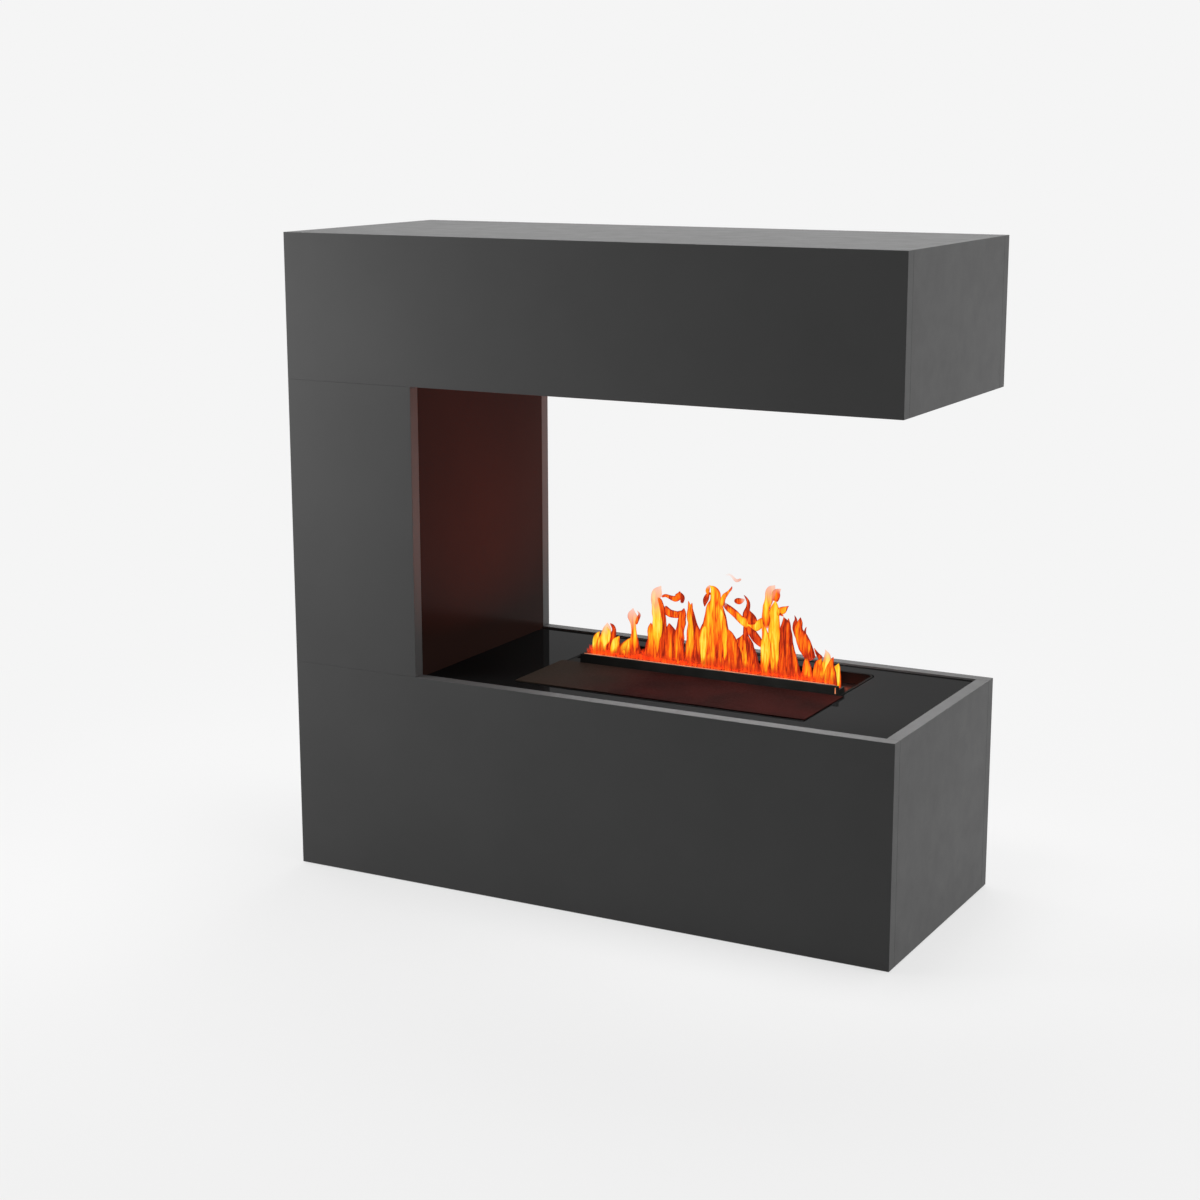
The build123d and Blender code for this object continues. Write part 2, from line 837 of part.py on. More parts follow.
# Slotted bar: a front wall, a lower rear wall with a lip over the lamps, two ends and a side flange
with BuildPart() as mist_nozzle:
    with BuildSketch(Plane.YZ.offset(nozzle_left)):
        with BuildLine():
            Polyline(
                (nozzle_front, nozzle_bottom),
                (nozzle_front, nozzle_top),
                (slot_front, nozzle_top),
                (slot_front, nozzle_bottom),
                close=True,
            )
        make_face()
        with BuildLine():
            Polyline(
                (nozzle_rear, nozzle_bottom),
                (nozzle_rear, nozzle_lip),
                (slot_rear, nozzle_lip),
                (slot_rear, nozzle_lip - nozzle_wall),
                (nozzle_rear - nozzle_wall, nozzle_lip - nozzle_wall),
                (nozzle_rear - nozzle_wall, nozzle_bottom),
                close=True,
            )
        make_face()
    extrude(amount=nozzle_right - nozzle_left)
    for x, way in ((nozzle_left, 1), (nozzle_right, -1)):
        block(
            (x, x + way * nozzle_wall),
            (nozzle_front, nozzle_rear),
            (nozzle_bottom, nozzle_lip),
        )
    block(
        (casing_left + nozzle_side_gap, nozzle_left),
        (nozzle_front, nozzle_rear),
        (casing_rim - sheet, casing_rim),
    )
    slit_x = nozzle_right - slit_inset
    block(
        (slit_x - slit_width / 2, slit_x + slit_width / 2),
        (nozzle_front, slot_front),
        (nozzle_top - slit_top_drop - slit_height, nozzle_top - slit_top_drop),
        Mode.SUBTRACT,
    )
    fillet(
        mist_nozzle.edges().filter_by(Axis.X).group_by(Axis.Z)[-1],
        radius=edge_round,
    )
save(mist_nozzle, "mist_nozzle")

# Lamp strip on the rear wall of the bar, under the lip
lamp_rear = nozzle_rear - nozzle_wall
lamp_top = nozzle_lip - nozzle_wall
with BuildPart() as lamp_board:
    block(
        (duct_left, duct_right),
        (lamp_rear - lamp_board_thickness, lamp_rear),
        (lamp_top - lamp_board_height, lamp_top),
    )
save(lamp_board, "lamp_board")

lamp_pitch = (duct_right - duct_left) / lamp_count
lamp_middle = lamp_top - lamp_board_height / 2
with BuildPart() as led_lamps:
    for number in range(lamp_count):
        lamp_x = duct_left + (number + 0.5) * lamp_pitch
        block(
            (lamp_x - lamp_size / 2, lamp_x + lamp_size / 2),
            (lamp_rear - lamp_board_thickness - lamp_thickness, lamp_rear - lamp_board_thickness),
            (lamp_middle - lamp_size / 2, lamp_middle + lamp_size / 2),
        )
save(led_lamps, "led_lamps")

# Sunken tray behind the bar, screwed through its floor to the casing's ledges
with BuildPart() as rear_tray:
    with BuildSketch(Plane.XY.offset(tray_floor - sheet)):
        with Locations((tray_x, tray_y)):
            Rectangle(tray_width, tray_length)
    extrude(amount=casing_rim - tray_floor + sheet)
    fillet(
        rear_tray.edges().filter_by(Axis.Z).group_by(Axis.Y)[-1],
        radius=tray_corner,
    )
    with BuildSketch(Plane.XY.offset(tray_floor)):
        with Locations((tray_x, tray_y)):
            tray_hollow = Rectangle(tray_width - 2 * sheet, tray_length - 2 * sheet)
        fillet(tray_hollow.vertices().group_by(Axis.Y)[-1], radius=tray_corner - sheet)
    extrude(amount=casing_rim - tray_floor, mode=Mode.SUBTRACT)
    for x, y in tray_screw_places:
        upright(
            x, y, tray_screw_radius + screw_clearance, (tray_floor - sheet, tray_floor),
            Mode.SUBTRACT,
        )
save(rear_tray, "rear_tray")

with BuildPart() as tray_screws:
    for x, y in tray_screw_places:
        upright(x, y, tray_screw_radius, (tray_floor - tray_screw_length, tray_floor))
        upright(x, y, tray_screw_head_radius, (tray_floor, tray_floor + tray_screw_head_height))
        with BuildSketch(Plane.XY.offset(tray_floor + tray_screw_head_height)):
            with Locations((x, y)):
                Rectangle(tray_screw_drive_length, tray_screw_drive_width)
                Rectangle(tray_screw_drive_width, tray_screw_drive_length)
        extrude(amount=-tray_screw_drive_depth, mode=Mode.SUBTRACT)
save(tray_screws, "tray_screws")

# Water tank, stood on its neck end, with a carrying handle on top
with BuildPart() as water_tank:
    with BuildSketch(Plane.XY.offset(tank_bottom)):
        with Locations((tank_x, tank_y)):
            RectangleRounded(tank_width, tank_depth, tank_corner)
    extrude(amount=tank_body_height)
    fillet(
        water_tank.faces().sort_by(Axis.Z)[-1].edges(),
        radius=tank_top_round,
    )
    with BuildSketch(Plane.XY.offset(tank_bottom + tank_wall)):
        with Locations((tank_x, tank_y)):
            RectangleRounded(
                tank_width - 2 * tank_wall, tank_depth - 2 * tank_wall, tank_corner - tank_wall
            )
    extrude(amount=tank_body_height - 2 * tank_wall, mode=Mode.SUBTRACT)
    upright(cap_x, tank_y, neck_radius, (tank_bottom - neck_height, tank_bottom + tank_wall))
    upright(
        cap_x, tank_y, neck_radius - neck_wall,
        (tank_bottom - neck_height, tank_bottom + tank_wall),
        Mode.SUBTRACT,
    )
    with BuildSketch(Plane.XZ.offset(-tank_y - handle_width / 2)):
        with Locations((tank_x, tank_top + handle_rise / 2)):
            RectangleRounded(handle_length, handle_rise, handle_bar)
        with Locations((tank_x, tank_top + (handle_rise - handle_bar) / 2)):
            Rectangle(
                handle_length - 2 * handle_bar, handle_rise - handle_bar, mode=Mode.SUBTRACT
            )
        with Locations((tank_x, tank_top + handle_bar / 2)):
            with GridLocations(handle_length - handle_bar, 0, 2, 1):
                Rectangle(handle_bar, handle_bar)
    extrude(amount=handle_width)
save(water_tank, "water_tank")

# Screw cap over the neck, with grip ribs round it and a hole for the valve pin
with BuildPart() as tank_cap:
    upright(cap_x, tank_y, cap_radius - cap_rib_radius, (cap_bottom, tank_bottom - cap_gap))
    with Locations((cap_x, tank_y, (cap_bottom + tank_bottom - cap_gap) / 2)):
        with PolarLocations(cap_radius - cap_rib_radius, cap_ribs):
            Cylinder(cap_rib_radius, cap_height - cap_gap)
    upright(
        cap_x, tank_y, neck_radius + cap_gap, (cap_bottom + cap_wall, tank_bottom - cap_gap),
        Mode.SUBTRACT,
    )
    upright(
        cap_x, tank_y, pin_radius + pin_gap, (cap_bottom, cap_bottom + cap_wall), Mode.SUBTRACT
    )
save(tank_cap, "tank_cap")

# Valve pin in the cap: it stands on the sump's post, and its plate lies over the hole when closed
pin_plate_bottom = cap_bottom + cap_wall + pin_stroke + pin_gap
pin_plate_top = pin_plate_bottom + pin_plate_thickness
with BuildPart() as valve_pin:
    upright(cap_x, tank_y, pin_radius, (pin_bottom, pin_plate_top))
    upright(cap_x, tank_y, pin_plate_radius, (pin_plate_bottom, pin_plate_top))
save(valve_pin, "valve_pin")

# Fan: a square frame with a hub on struts, and a rotor above the hub
with BuildPart() as fan_housing:
    with BuildSketch(Plane.XY.offset(lid_top)):
        with Locations((fan_x, fan_y)):
            RectangleRounded(fan_size, fan_size, fan_corner)
            Circle(fan_bore_radius, mode=Mode.SUBTRACT)
            with GridLocations(fan_hole_spacing, fan_hole_spacing, 2, 2):
                Circle(fan_hole_radius, mode=Mode.SUBTRACT)
    extrude(amount=fan_thickness)
    block(
        (fan_x - fan_bore_radius, fan_x + fan_bore_radius),
        (fan_y - fan_strut / 2, fan_y + fan_strut / 2),
        (lid_top, lid_top + fan_hub_height),
    )
    block(
        (fan_x - fan_strut / 2, fan_x + fan_strut / 2),
        (fan_y - fan_bore_radius, fan_y + fan_bore_radius),
        (lid_top, lid_top + fan_hub_height),
    )
    upright(fan_x, fan_y, fan_hub_radius, (lid_top, lid_top + fan_hub_height))
    upright(fan_x, fan_y, fan_shaft_radius, (lid_top, lid_top + fan_hub_height + fan_shaft_height))
save(fan_housing, "fan_housing")

rotor_bottom = lid_top + fan_hub_height + fan_rotor_gap
blade_middle = (rotor_hub_radius + blade_tip_radius) / 2
blade_span = blade_tip_radius - rotor_hub_radius + blade_thickness
with BuildPart() as fan_rotor:
    with Locations((fan_x, fan_y, rotor_bottom + rotor_hub_height / 2)):
        with PolarLocations(blade_middle - blade_thickness / 2, blade_count):
            Box(blade_span, blade_chord, blade_thickness, rotation=(blade_pitch, 0, 0))
    upright(fan_x, fan_y, rotor_hub_radius, (rotor_bottom, rotor_bottom + rotor_hub_height))
    upright(
        fan_x, fan_y, fan_shaft_radius + fan_shaft_clearance,
        (rotor_bottom, lid_top + fan_hub_height + fan_shaft_height + fan_rotor_gap),
        Mode.SUBTRACT,
    )
save(fan_rotor, "fan_rotor")

# Filter over the fan: a frame with a bar cross, and foam inside it
filter_top = fan_top + filter_height
with BuildPart() as filter_frame:
    with BuildSketch(Plane.XY.offset(fan_top)):
        with Locations((fan_x, fan_y)):
            RectangleRounded(fan_size, fan_size, fan_corner)
            Rectangle(
                fan_size - 2 * filter_wall, fan_size - 2 * filter_wall, mode=Mode.SUBTRACT
            )
    extrude(amount=filter_height)
    with BuildSketch(Plane.XY.offset(filter_top)):
        with Locations((fan_x, fan_y)):
            Rectangle(fan_size - filter_wall, filter_wall)
            Rectangle(filter_wall, fan_size - filter_wall)
    extrude(amount=-filter_wall)
save(filter_frame, "filter_frame")

with BuildPart() as filter_foam:
    with BuildSketch(Plane.XY.offset(fan_top)):
        with Locations((fan_x, fan_y)):
            Rectangle(fan_size - 2 * filter_wall, fan_size - 2 * filter_wall)
    extrude(amount=filter_foam_thickness)
save(filter_foam, "filter_foam")

# Control panel: a plate on a skirt, bored for the knob, the buttons and the rocker
button_places = [
    (panel_right - button_inset, panel_y + (number - (button_count - 1) / 2) * button_spacing)
    for number in range(button_count)
]
rocker_opening_length = rocker_length + 2 * rocker_gap
rocker_opening_width = rocker_width + 2 * rocker_gap
housing_half_length = rocker_opening_length / 2 + rocker_wall
housing_half_width = rocker_opening_width / 2 + rocker_wall
with BuildPart() as control_panel:
    block((panel_left, panel_right), (panel_front, panel_rear), (panel_bottom, panel_top))
    for x in (panel_left, panel_right - panel_skirt_wall):
        block(
            (x, x + panel_skirt_wall),
            (panel_front, panel_rear),
            (panel_bottom - panel_skirt, panel_bottom),
        )
    upright(
        knob_x, knob_y, knob_stem_radius + knob_stem_clearance, (panel_bottom, panel_top),
        Mode.SUBTRACT,
    )
    for x, y in button_places:
        upright(
            x, y, button_radius + button_clearance, (panel_bottom, panel_top), Mode.SUBTRACT
        )
    block(
        (rocker_x - housing_half_length, rocker_x + housing_half_length),
        (rocker_y - housing_half_width, rocker_y + housing_half_width),
        (panel_bottom, panel_top),
        Mode.SUBTRACT,
    )
save(control_panel, "control_panel")

# Flame height knob: a round cap with a pointer line, on a stem through the panel
with BuildPart() as flame_knob:
    knob_bottom = panel_top + knob_gap
    upright(knob_x, knob_y, knob_radius, (knob_bottom, knob_bottom + knob_height))
    fillet(flame_knob.faces().sort_by(Axis.Z)[-1].edges(), radius=knob_edge_round)
    upright(
        knob_x, knob_y, knob_stem_radius, (panel_top - knob_stem_length, knob_bottom)
    )
    block(
        (knob_x - knob_mark / 2, knob_x + knob_mark / 2),
        (knob_y, knob_y + knob_radius),
        (knob_bottom + knob_height - knob_mark, knob_bottom + knob_height),
        Mode.SUBTRACT,
    )
save(flame_knob, "flame_knob")

# Push buttons, each with a flange that keeps it under the panel
for number, (x, y) in enumerate(button_places, start=1):
    with BuildPart() as push_button:
        upright(x, y, button_radius, (panel_bottom, panel_top + button_rise))
        fillet(push_button.faces().sort_by(Axis.Z)[-1].edges(), radius=edge_round)
        upright(
            x, y, button_flange_radius,
            (panel_bottom - button_clearance - button_flange_thickness,
             panel_bottom - button_clearance),
        )
        upright(
            x, y, button_radius, (panel_bottom - button_clearance, panel_bottom)
        )
    save(push_button, f"push_button_{number}")

# Rocker switch: a housing in the panel, with two pin holes, and a rocker on its pins
with BuildPart() as rocker_housing:
    block(
        (rocker_x - housing_half_length - rocker_flange,
         rocker_x + housing_half_length + rocker_flange),
        (rocker_y - housing_half_width - rocker_flange,
         rocker_y + housing_half_width + rocker_flange),
        (panel_top, panel_top + rocker_flange_thickness),
    )
    block(
        (rocker_x - housing_half_length, rocker_x + housing_half_length),
        (rocker_y - housing_half_width, rocker_y + housing_half_width),
        (panel_top - rocker_body_depth, panel_top),
    )
    block(
        (rocker_x - rocker_opening_length / 2, rocker_x + rocker_opening_length / 2),
        (rocker_y - rocker_opening_width / 2, rocker_y + rocker_opening_width / 2),
        (panel_top - rocker_body_depth + rocker_wall, panel_top + rocker_flange_thickness),
        Mode.SUBTRACT,
    )
    with Locations(Plane(origin=(rocker_x, rocker_y, rocker_pivot), z_dir=(0, 1, 0))):
        Cylinder(
            rocker_pin_radius + rocker_pin_clearance,
            2 * housing_half_width,
            mode=Mode.SUBTRACT,
        )
save(rocker_housing, "rocker_housing")

rocker_half = rocker_length / 2 - rocker_gap / 2
rocker_plane = Plane(
    origin=(rocker_x, rocker_y + rocker_width / 2, rocker_pivot),
    x_dir=(cos(radians(rocker_tilt)), 0, sin(radians(rocker_tilt))),
    z_dir=(0, -1, 0),
)
with BuildPart() as power_rocker:
    with BuildSketch(rocker_plane):
        with BuildLine():
            Polyline(
                (-rocker_half, rocker_rise),
                (0, rocker_hollow),
                (rocker_half, rocker_rise),
                (rocker_half - rocker_gap, -rocker_pin_radius),
                (rocker_keel, -rocker_keel),
                (-rocker_keel, -rocker_keel),
                (-rocker_half + rocker_gap, -rocker_pin_radius),
                close=True,
            )
        make_face()
    extrude(amount=rocker_width)
    with Locations(Plane(origin=(rocker_x, rocker_y, rocker_pivot), z_dir=(0, 1, 0))):
        Cylinder(rocker_pin_radius, 2 * housing_half_width)
save(power_rocker, "power_rocker")

# Circuit board under the control panel, with its switches
with BuildPart() as control_board:
    block(
        (panel_left + panel_skirt_wall, panel_right - panel_skirt_wall),
        (panel_front, panel_rear),
        (board_bottom, board_top),
    )
    flange_bottom = panel_bottom - button_clearance - button_flange_thickness
    for x, y in button_places:
        upright(x, y, button_radius, (board_top, flange_bottom - button_stroke - button_clearance))
save(control_board, "control_board")

# Power supply and the driver board for the discs, on the casing floor behind the sump
electrics_front = sump_rear + cassette_gap
with BuildPart() as power_supply:
    supply_right = casing_right - casing_corner
    block(
        (supply_right - supply_width, supply_right),
        (electrics_front, electrics_front + supply_depth),
        (casing_floor, casing_floor + supply_height),
    )
    fillet(power_supply.edges().filter_by(Axis.Z), radius=supply_corner)
save(power_supply, "power_supply")

driver_left = casing_left + casing_corner
driver_bottom = casing_floor + driver_standoff
driver_top = driver_bottom + circuit_board_thickness
with BuildPart() as driver_board:
    block(
        (driver_left, driver_left + driver_width),
        (electrics_front, electrics_front + driver_depth),
        (driver_bottom, driver_top),
    )
    for x in (driver_left + standoff_inset, driver_left + driver_width - standoff_inset):
        for y in (
            electrics_front + standoff_inset,
            electrics_front + driver_depth - standoff_inset,
        ):
            upright(x, y, standoff_radius, (casing_floor, driver_bottom))
    for number in range(disc_count):
        coil_x = driver_left + (number + 0.5) * driver_width / disc_count
        coil_y = electrics_front + driver_depth / 2
        upright(coil_x, coil_y, coil_radius, (driver_top, driver_top + coil_height))
save(driver_board, "driver_board")

# Mains inlet in the rear wall of the casing
with BuildPart() as mains_inlet:
    with BuildSketch(inlet_plane.offset(-sheet)):
        Rectangle(inlet_width + 2 * inlet_flange, inlet_height + 2 * inlet_flange)
    extrude(amount=-inlet_flange_thickness)
    with BuildSketch(inlet_plane):
        Rectangle(inlet_width, inlet_height)
    extrude(amount=-inlet_depth)
    with BuildSketch(inlet_plane):
        Rectangle(inlet_width - 2 * inlet_wall, inlet_height - 2 * inlet_wall)
    extrude(amount=inlet_wall - inlet_depth, mode=Mode.SUBTRACT)
    with BuildSketch(inlet_plane.offset(inlet_wall - inlet_depth)):
        with GridLocations(inlet_blade_spacing, 0, 3, 1):
            Rectangle(inlet_blade, inlet_blade_width)
    extrude(amount=inlet_blade_length)
save(mains_inlet, "mains_inlet")

# Cover plate over the tank and the controls, with two tabs that find its place in the casing
cover_bottom = casing_rim
cover_x_span = (
    cutout_x - cutout_width / 2 - cover_overlap,
    cutout_x + cutout_width / 2 + cover_overlap,
)
with BuildPart() as cover_plate:
    block(
        cover_x_span,
        (cutout_front - cover_overlap, nozzle_front - cover_rear_gap),
        (cover_bottom, cover_bottom + cover_thickness),
    )
    tab_middle = (cutout_front + nozzle_front) / 2
    for x, way in (
        (casing_left + cover_tab_gap, 1),
        (casing_right - cover_tab_gap, -1),
    ):
        block(
            (x, x + way * sheet),
            (tab_middle - cover_tab_length / 2, tab_middle + cover_tab_length / 2),
            (cover_bottom - cover_tab_depth, cover_bottom),
        )
save(cover_plate, "cover_plate")

# Flames: a low arch along the slot, and a tongue of lit vapour for each entry above
flame_bottom = nozzle_top - flame_base_drop
flame_y = (slot_front + slot_rear) / 2
flame_left = nozzle_left + nozzle_wall + flame_end_gap
flame_length = nozzle_right - nozzle_wall - flame_end_gap - flame_left
with BuildPart() as vapour_flame:
    with BuildSketch(Plane.XZ.offset(-flame_y - flame_arch_thickness / 2)):
        with BuildLine():
            root_end = flame_bottom + flame_root_height
            root_arch = ThreePointArc(
                (flame_left, root_end),
                (flame_left + flame_length / 2, root_end + flame_arch_rise),
                (flame_left + flame_length, root_end),
            )
            Polyline(
                root_arch @ 1,
                (flame_left + flame_length, flame_bottom),
                (flame_left, flame_bottom),
                root_arch @ 0,
            )
        make_face()
    extrude(amount=flame_arch_thickness)
    for place, height, width, lean in tongues:
        tongue_x = flame_left + place * flame_length
        for step, broad, thick in tongue_sections:
            with BuildSketch(Plane.XY.offset(flame_bottom + step * height)):
                with Locations((tongue_x + lean * step * step, flame_y)):
                    Ellipse(broad * width / 2, thick * flame_thickness / 2)
        loft()
save(vapour_flame, "vapour_flame")
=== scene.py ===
import json
import math

import bmesh
import bpy
from mathutils import Matrix, Vector, noise


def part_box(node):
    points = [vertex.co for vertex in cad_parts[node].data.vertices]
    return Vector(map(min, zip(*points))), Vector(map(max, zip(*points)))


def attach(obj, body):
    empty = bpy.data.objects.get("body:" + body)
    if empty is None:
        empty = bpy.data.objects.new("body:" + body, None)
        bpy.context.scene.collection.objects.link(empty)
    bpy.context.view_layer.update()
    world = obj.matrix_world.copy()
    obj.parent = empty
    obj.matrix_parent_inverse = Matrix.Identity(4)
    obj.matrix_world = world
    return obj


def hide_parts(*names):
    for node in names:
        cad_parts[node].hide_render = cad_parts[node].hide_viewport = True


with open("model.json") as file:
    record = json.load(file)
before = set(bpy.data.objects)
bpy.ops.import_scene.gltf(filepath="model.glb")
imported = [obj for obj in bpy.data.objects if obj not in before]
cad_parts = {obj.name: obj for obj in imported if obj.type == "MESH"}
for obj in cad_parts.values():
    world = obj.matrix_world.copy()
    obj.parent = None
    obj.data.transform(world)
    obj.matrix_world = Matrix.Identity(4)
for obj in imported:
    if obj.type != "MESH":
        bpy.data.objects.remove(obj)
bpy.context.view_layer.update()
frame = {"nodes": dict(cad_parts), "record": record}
nodes = frame["nodes"]
slotOf = {part["node"]: part["material_slot"] for part in frame["record"]["subparts"]}
scene = bpy.context.scene
scene.view_settings.view_transform = "Standard"
mm = 0.001  # the new pieces' dictionaries give their lengths in mm
white = (1, 1, 1, 1)
cloudSpan = (0.3, 0.7)  # nearly all of a noise texture lies between these
print("frame loaded,", len(nodes), "nodes")


# camera, at the photograph's eye point

cameraSetup = {
    "place": (1.3931, -2.6846, 1.0653),
    "turn": (77.5707, 0.105, 28.4377),  # degrees about x, y, z
    "lens": 67.163,
    "sensor": 36,
}
eye = bpy.data.objects.new("eye", bpy.data.cameras.new("eye"))
eye.data.lens = cameraSetup["lens"]
eye.data.sensor_width = cameraSetup["sensor"]
eye.location = cameraSetup["place"]
eye.rotation_euler = [math.radians(angle) for angle in cameraSetup["turn"]]
scene.collection.objects.link(eye)
scene.camera = eye
print("camera set")


# node helpers

def addNode(tree, kind, **settings):
    node = tree.nodes.new(kind)
    for name, value in settings.items():
        setattr(node, name, value)
    return node


def feed(tree, socket, source):
    if isinstance(source, bpy.types.NodeSocket):
        tree.links.new(source, socket)
    else:
        socket.default_value = source


def compute(tree, operation, first, second=0.0, clamp=False):
    node = addNode(tree, "ShaderNodeMath", operation=operation, use_clamp=clamp)
    feed(tree, node.inputs[0], first)
    feed(tree, node.inputs[1], second)
    return node.outputs[0]


def stretch(tree, vector, scale):
    node = addNode(tree, "ShaderNodeMapping")
    feed(tree, node.inputs["Vector"], vector)
    node.inputs["Scale"].default_value = scale
    return node.outputs[0]


def cloud(tree, vector, scale, detail=2.0, roughness=0.5):
    node = addNode(tree, "ShaderNodeTexNoise")
    feed(tree, node.inputs["Vector"], vector)
    node.inputs["Scale"].default_value = scale
    node.inputs["Detail"].default_value = detail
    node.inputs["Roughness"].default_value = roughness
    return node.outputs[0]


def cells(tree, vector, scale, output="Distance"):
    node = addNode(tree, "ShaderNodeTexVoronoi")
    feed(tree, node.inputs["Vector"], vector)
    node.inputs["Scale"].default_value = scale
    return node.outputs[output]


def remap(tree, value, low, high, newLow, newHigh):
    node = addNode(tree, "ShaderNodeMapRange")
    feed(tree, node.inputs["Value"], value)
    for name, number in (("From Min", low), ("From Max", high), ("To Min", newLow), ("To Max", newHigh)):
        node.inputs[name].default_value = number
    return node.outputs[0]


def shadeBy(tree, value, stops):
    node = addNode(tree, "ShaderNodeValToRGB")
    feed(tree, node.inputs[0], value)
    ramp = node.color_ramp
    for element, (place, colour) in zip((ramp.elements[0], ramp.elements[-1]), (stops[0], stops[-1])):
        element.position = place
        element.color = (*colour, 1)
    for place, colour in stops[1:-1]:
        ramp.elements.new(place).color = (*colour, 1)
    return node.outputs[0]


def startFinish(name, settings):
    material = bpy.data.materials.new(name)
    material.use_nodes = True
    tree = material.node_tree
    shader = tree.nodes["Principled BSDF"]
    for socket, value in settings.items():
        shader.inputs[socket].default_value = value
    place = addNode(tree, "ShaderNodeTexCoord").outputs["Object"]
    return material, tree, shader, place


def addBump(tree, shader, height, strength, depth):
    node = addNode(tree, "ShaderNodeBump")
    node.inputs["Strength"].default_value = strength
    node.inputs["Distance"].default_value = depth
    feed(tree, node.inputs["Height"], height)
    feed(tree, shader.inputs["Normal"], node.outputs[0])


def mixShaders(tree, share, first, second):
    node = addNode(tree, "ShaderNodeMixShader")
    for socket, source in zip(node.inputs, (share, first, second)):
        feed(tree, socket, source)
    return node.outputs[0]


def blendColours(tree, share, first, second):
    node = addNode(tree, "ShaderNodeMix", data_type="RGBA")
    for socket, source in (("Factor", share), ("A", first), ("B", second)):
        feed(tree, node.inputs[socket], source)
    return node.outputs["Result"]


def seenDirectly(tree):  # 1 for what the camera, a mirror or clear plastic shows
    path = addNode(tree, "ShaderNodeLightPath")
    plain = compute(tree, "MAXIMUM", path.outputs["Is Camera Ray"], path.outputs["Is Glossy Ray"])
    return compute(tree, "MAXIMUM", plain, path.outputs["Is Transmission Ray"])


# room: pale world and floor, plain soft lamps

roomSetup = {
    "paper": 0.913,  # the backdrop's level
    "ambient": 0.09,
    "floorColour": (0.18, 0.18, 0.18),  # what the floor throws back at the object
    "floorShade": (0.15, 0.15, 0.15),  # how strongly it shows the object's shadow
    "floorGlow": 0.69,
    "nearRadius": 0.75,  # from here to the far radius the shadow fades into the paper
    "farRadius": 1.7,
    "floorSize": 30.0,
    "floorSides": 64,
}
world = bpy.data.worlds.new("room")
scene.world = world
world.use_nodes = True
sky = world.node_tree
ambientLight = sky.nodes["Background"]
ambientLight.inputs["Color"].default_value = white
ambientLight.inputs["Strength"].default_value = roomSetup["ambient"]
paperLight = addNode(sky, "ShaderNodeBackground")
paperLight.inputs["Color"].default_value = white
paperLight.inputs["Strength"].default_value = roomSetup["paper"]
shown = mixShaders(sky, seenDirectly(sky), ambientLight.outputs[0], paperLight.outputs[0])
feed(sky, sky.nodes["World Output"].inputs["Surface"], shown)


def makeFloor(setup):
    sheet = bmesh.new()
    bmesh.ops.create_circle(sheet, cap_ends=True, segments=setup["floorSides"], radius=setup["floorSize"] / 2)
    mesh = bpy.data.meshes.new("floor")
    sheet.to_mesh(mesh)
    sheet.free()
    floor = bpy.data.objects.new("floor", mesh)
    scene.collection.objects.link(floor)
    material = bpy.data.materials.new("floorPaper")
    material.use_nodes = True
    tree = material.node_tree
    tree.nodes.remove(tree.nodes["Principled BSDF"])
    place = addNode(tree, "ShaderNodeTexCoord").outputs["Object"]
    matt = {}
    for look in ("floorColour", "floorShade"):
        matt[look] = addNode(tree, "ShaderNodeBsdfDiffuse")
        matt[look].inputs["Color"].default_value = (*setup[look], 1)
    glow = {}
    for look in ("floorGlow", "paper"):
        glow[look] = addNode(tree, "ShaderNodeEmission")
        glow[look].inputs["Color"].default_value = white
        glow[look].inputs["Strength"].default_value = setup[look]
    near = addNode(tree, "ShaderNodeAddShader")
    feed(tree, near.inputs[0], matt["floorShade"].outputs[0])
    feed(tree, near.inputs[1], glow["floorGlow"].outputs[0])
    reach = addNode(tree, "ShaderNodeVectorMath", operation="LENGTH")
    feed(tree, reach.inputs[0], place)
    far = remap(tree, reach.outputs["Value"], setup["nearRadius"], setup["farRadius"], 0.0, 1.0)
    shown = mixShaders(tree, far, near.outputs[0], glow["paper"].outputs[0])
    shown = mixShaders(tree, seenDirectly(tree), matt["floorColour"].outputs[0], shown)
    feed(tree, tree.nodes["Material Output"].inputs["Surface"], shown)
    mesh.materials.append(material)


lamps = {  # opening hangs under the upper box, and the last three stand for the flames' light
    "frontLeft": {"place": (-1.0, -0.75, 0.88), "aim": (-0.3, -0.15, 0.6), "size": (0.5, 0.5), "power": 10.0},
    "rightSide": {"place": (2.6, 0.5, 1.0), "aim": (0.3, 0, 0.5), "size": (1.4, 1.6), "power": 28},
    "behind": {"place": (-0.6, 2.9, 1.5), "aim": (0.0, 0.0, 0.5), "size": (2.0, 1.6), "power": 40},
    "leftSide": {"place": (-2.7, 0.9, 1.2), "aim": (-0.4, 0.0, 0.5), "size": (1.4, 1.6), "power": 26},
    "overhead": {"place": (0.1, 0.5, 3.0), "aim": (0, 0.1, 0.9), "size": (2.4, 2.4), "power": 108},
    "opening": {"place": (0.225, -0.10, 0.69), "aim": (0.225, -0.06, 0.3), "size": (0.38, 0.16),
                "power": 1.35, "spread": 88},
    "slotGlow": {"place": (0.1018, 0.009, 0.3135), "aim": (0.1018, 0.009, 1.0), "size": (0.37, 0.009),
                 "power": 3.4, "spread": 168, "colour": (1, 0.15, 0.045)},
    "trayGlow": {"place": (0.279, 0.080, 0.305), "aim": (0.279, 0.0801, 0.283), "size": (0.02, 0.02),
                 "power": 0.06, "colour": (1, 0.09, 0.05)},
    "traySpot": {"place": (0.272, 0.100, 0.293), "aim": (0.270, 0.104, 0.283), "size": (0.006, 0.006),
                 "power": 0.05, "colour": (1, 0.20, 0.11)},
}
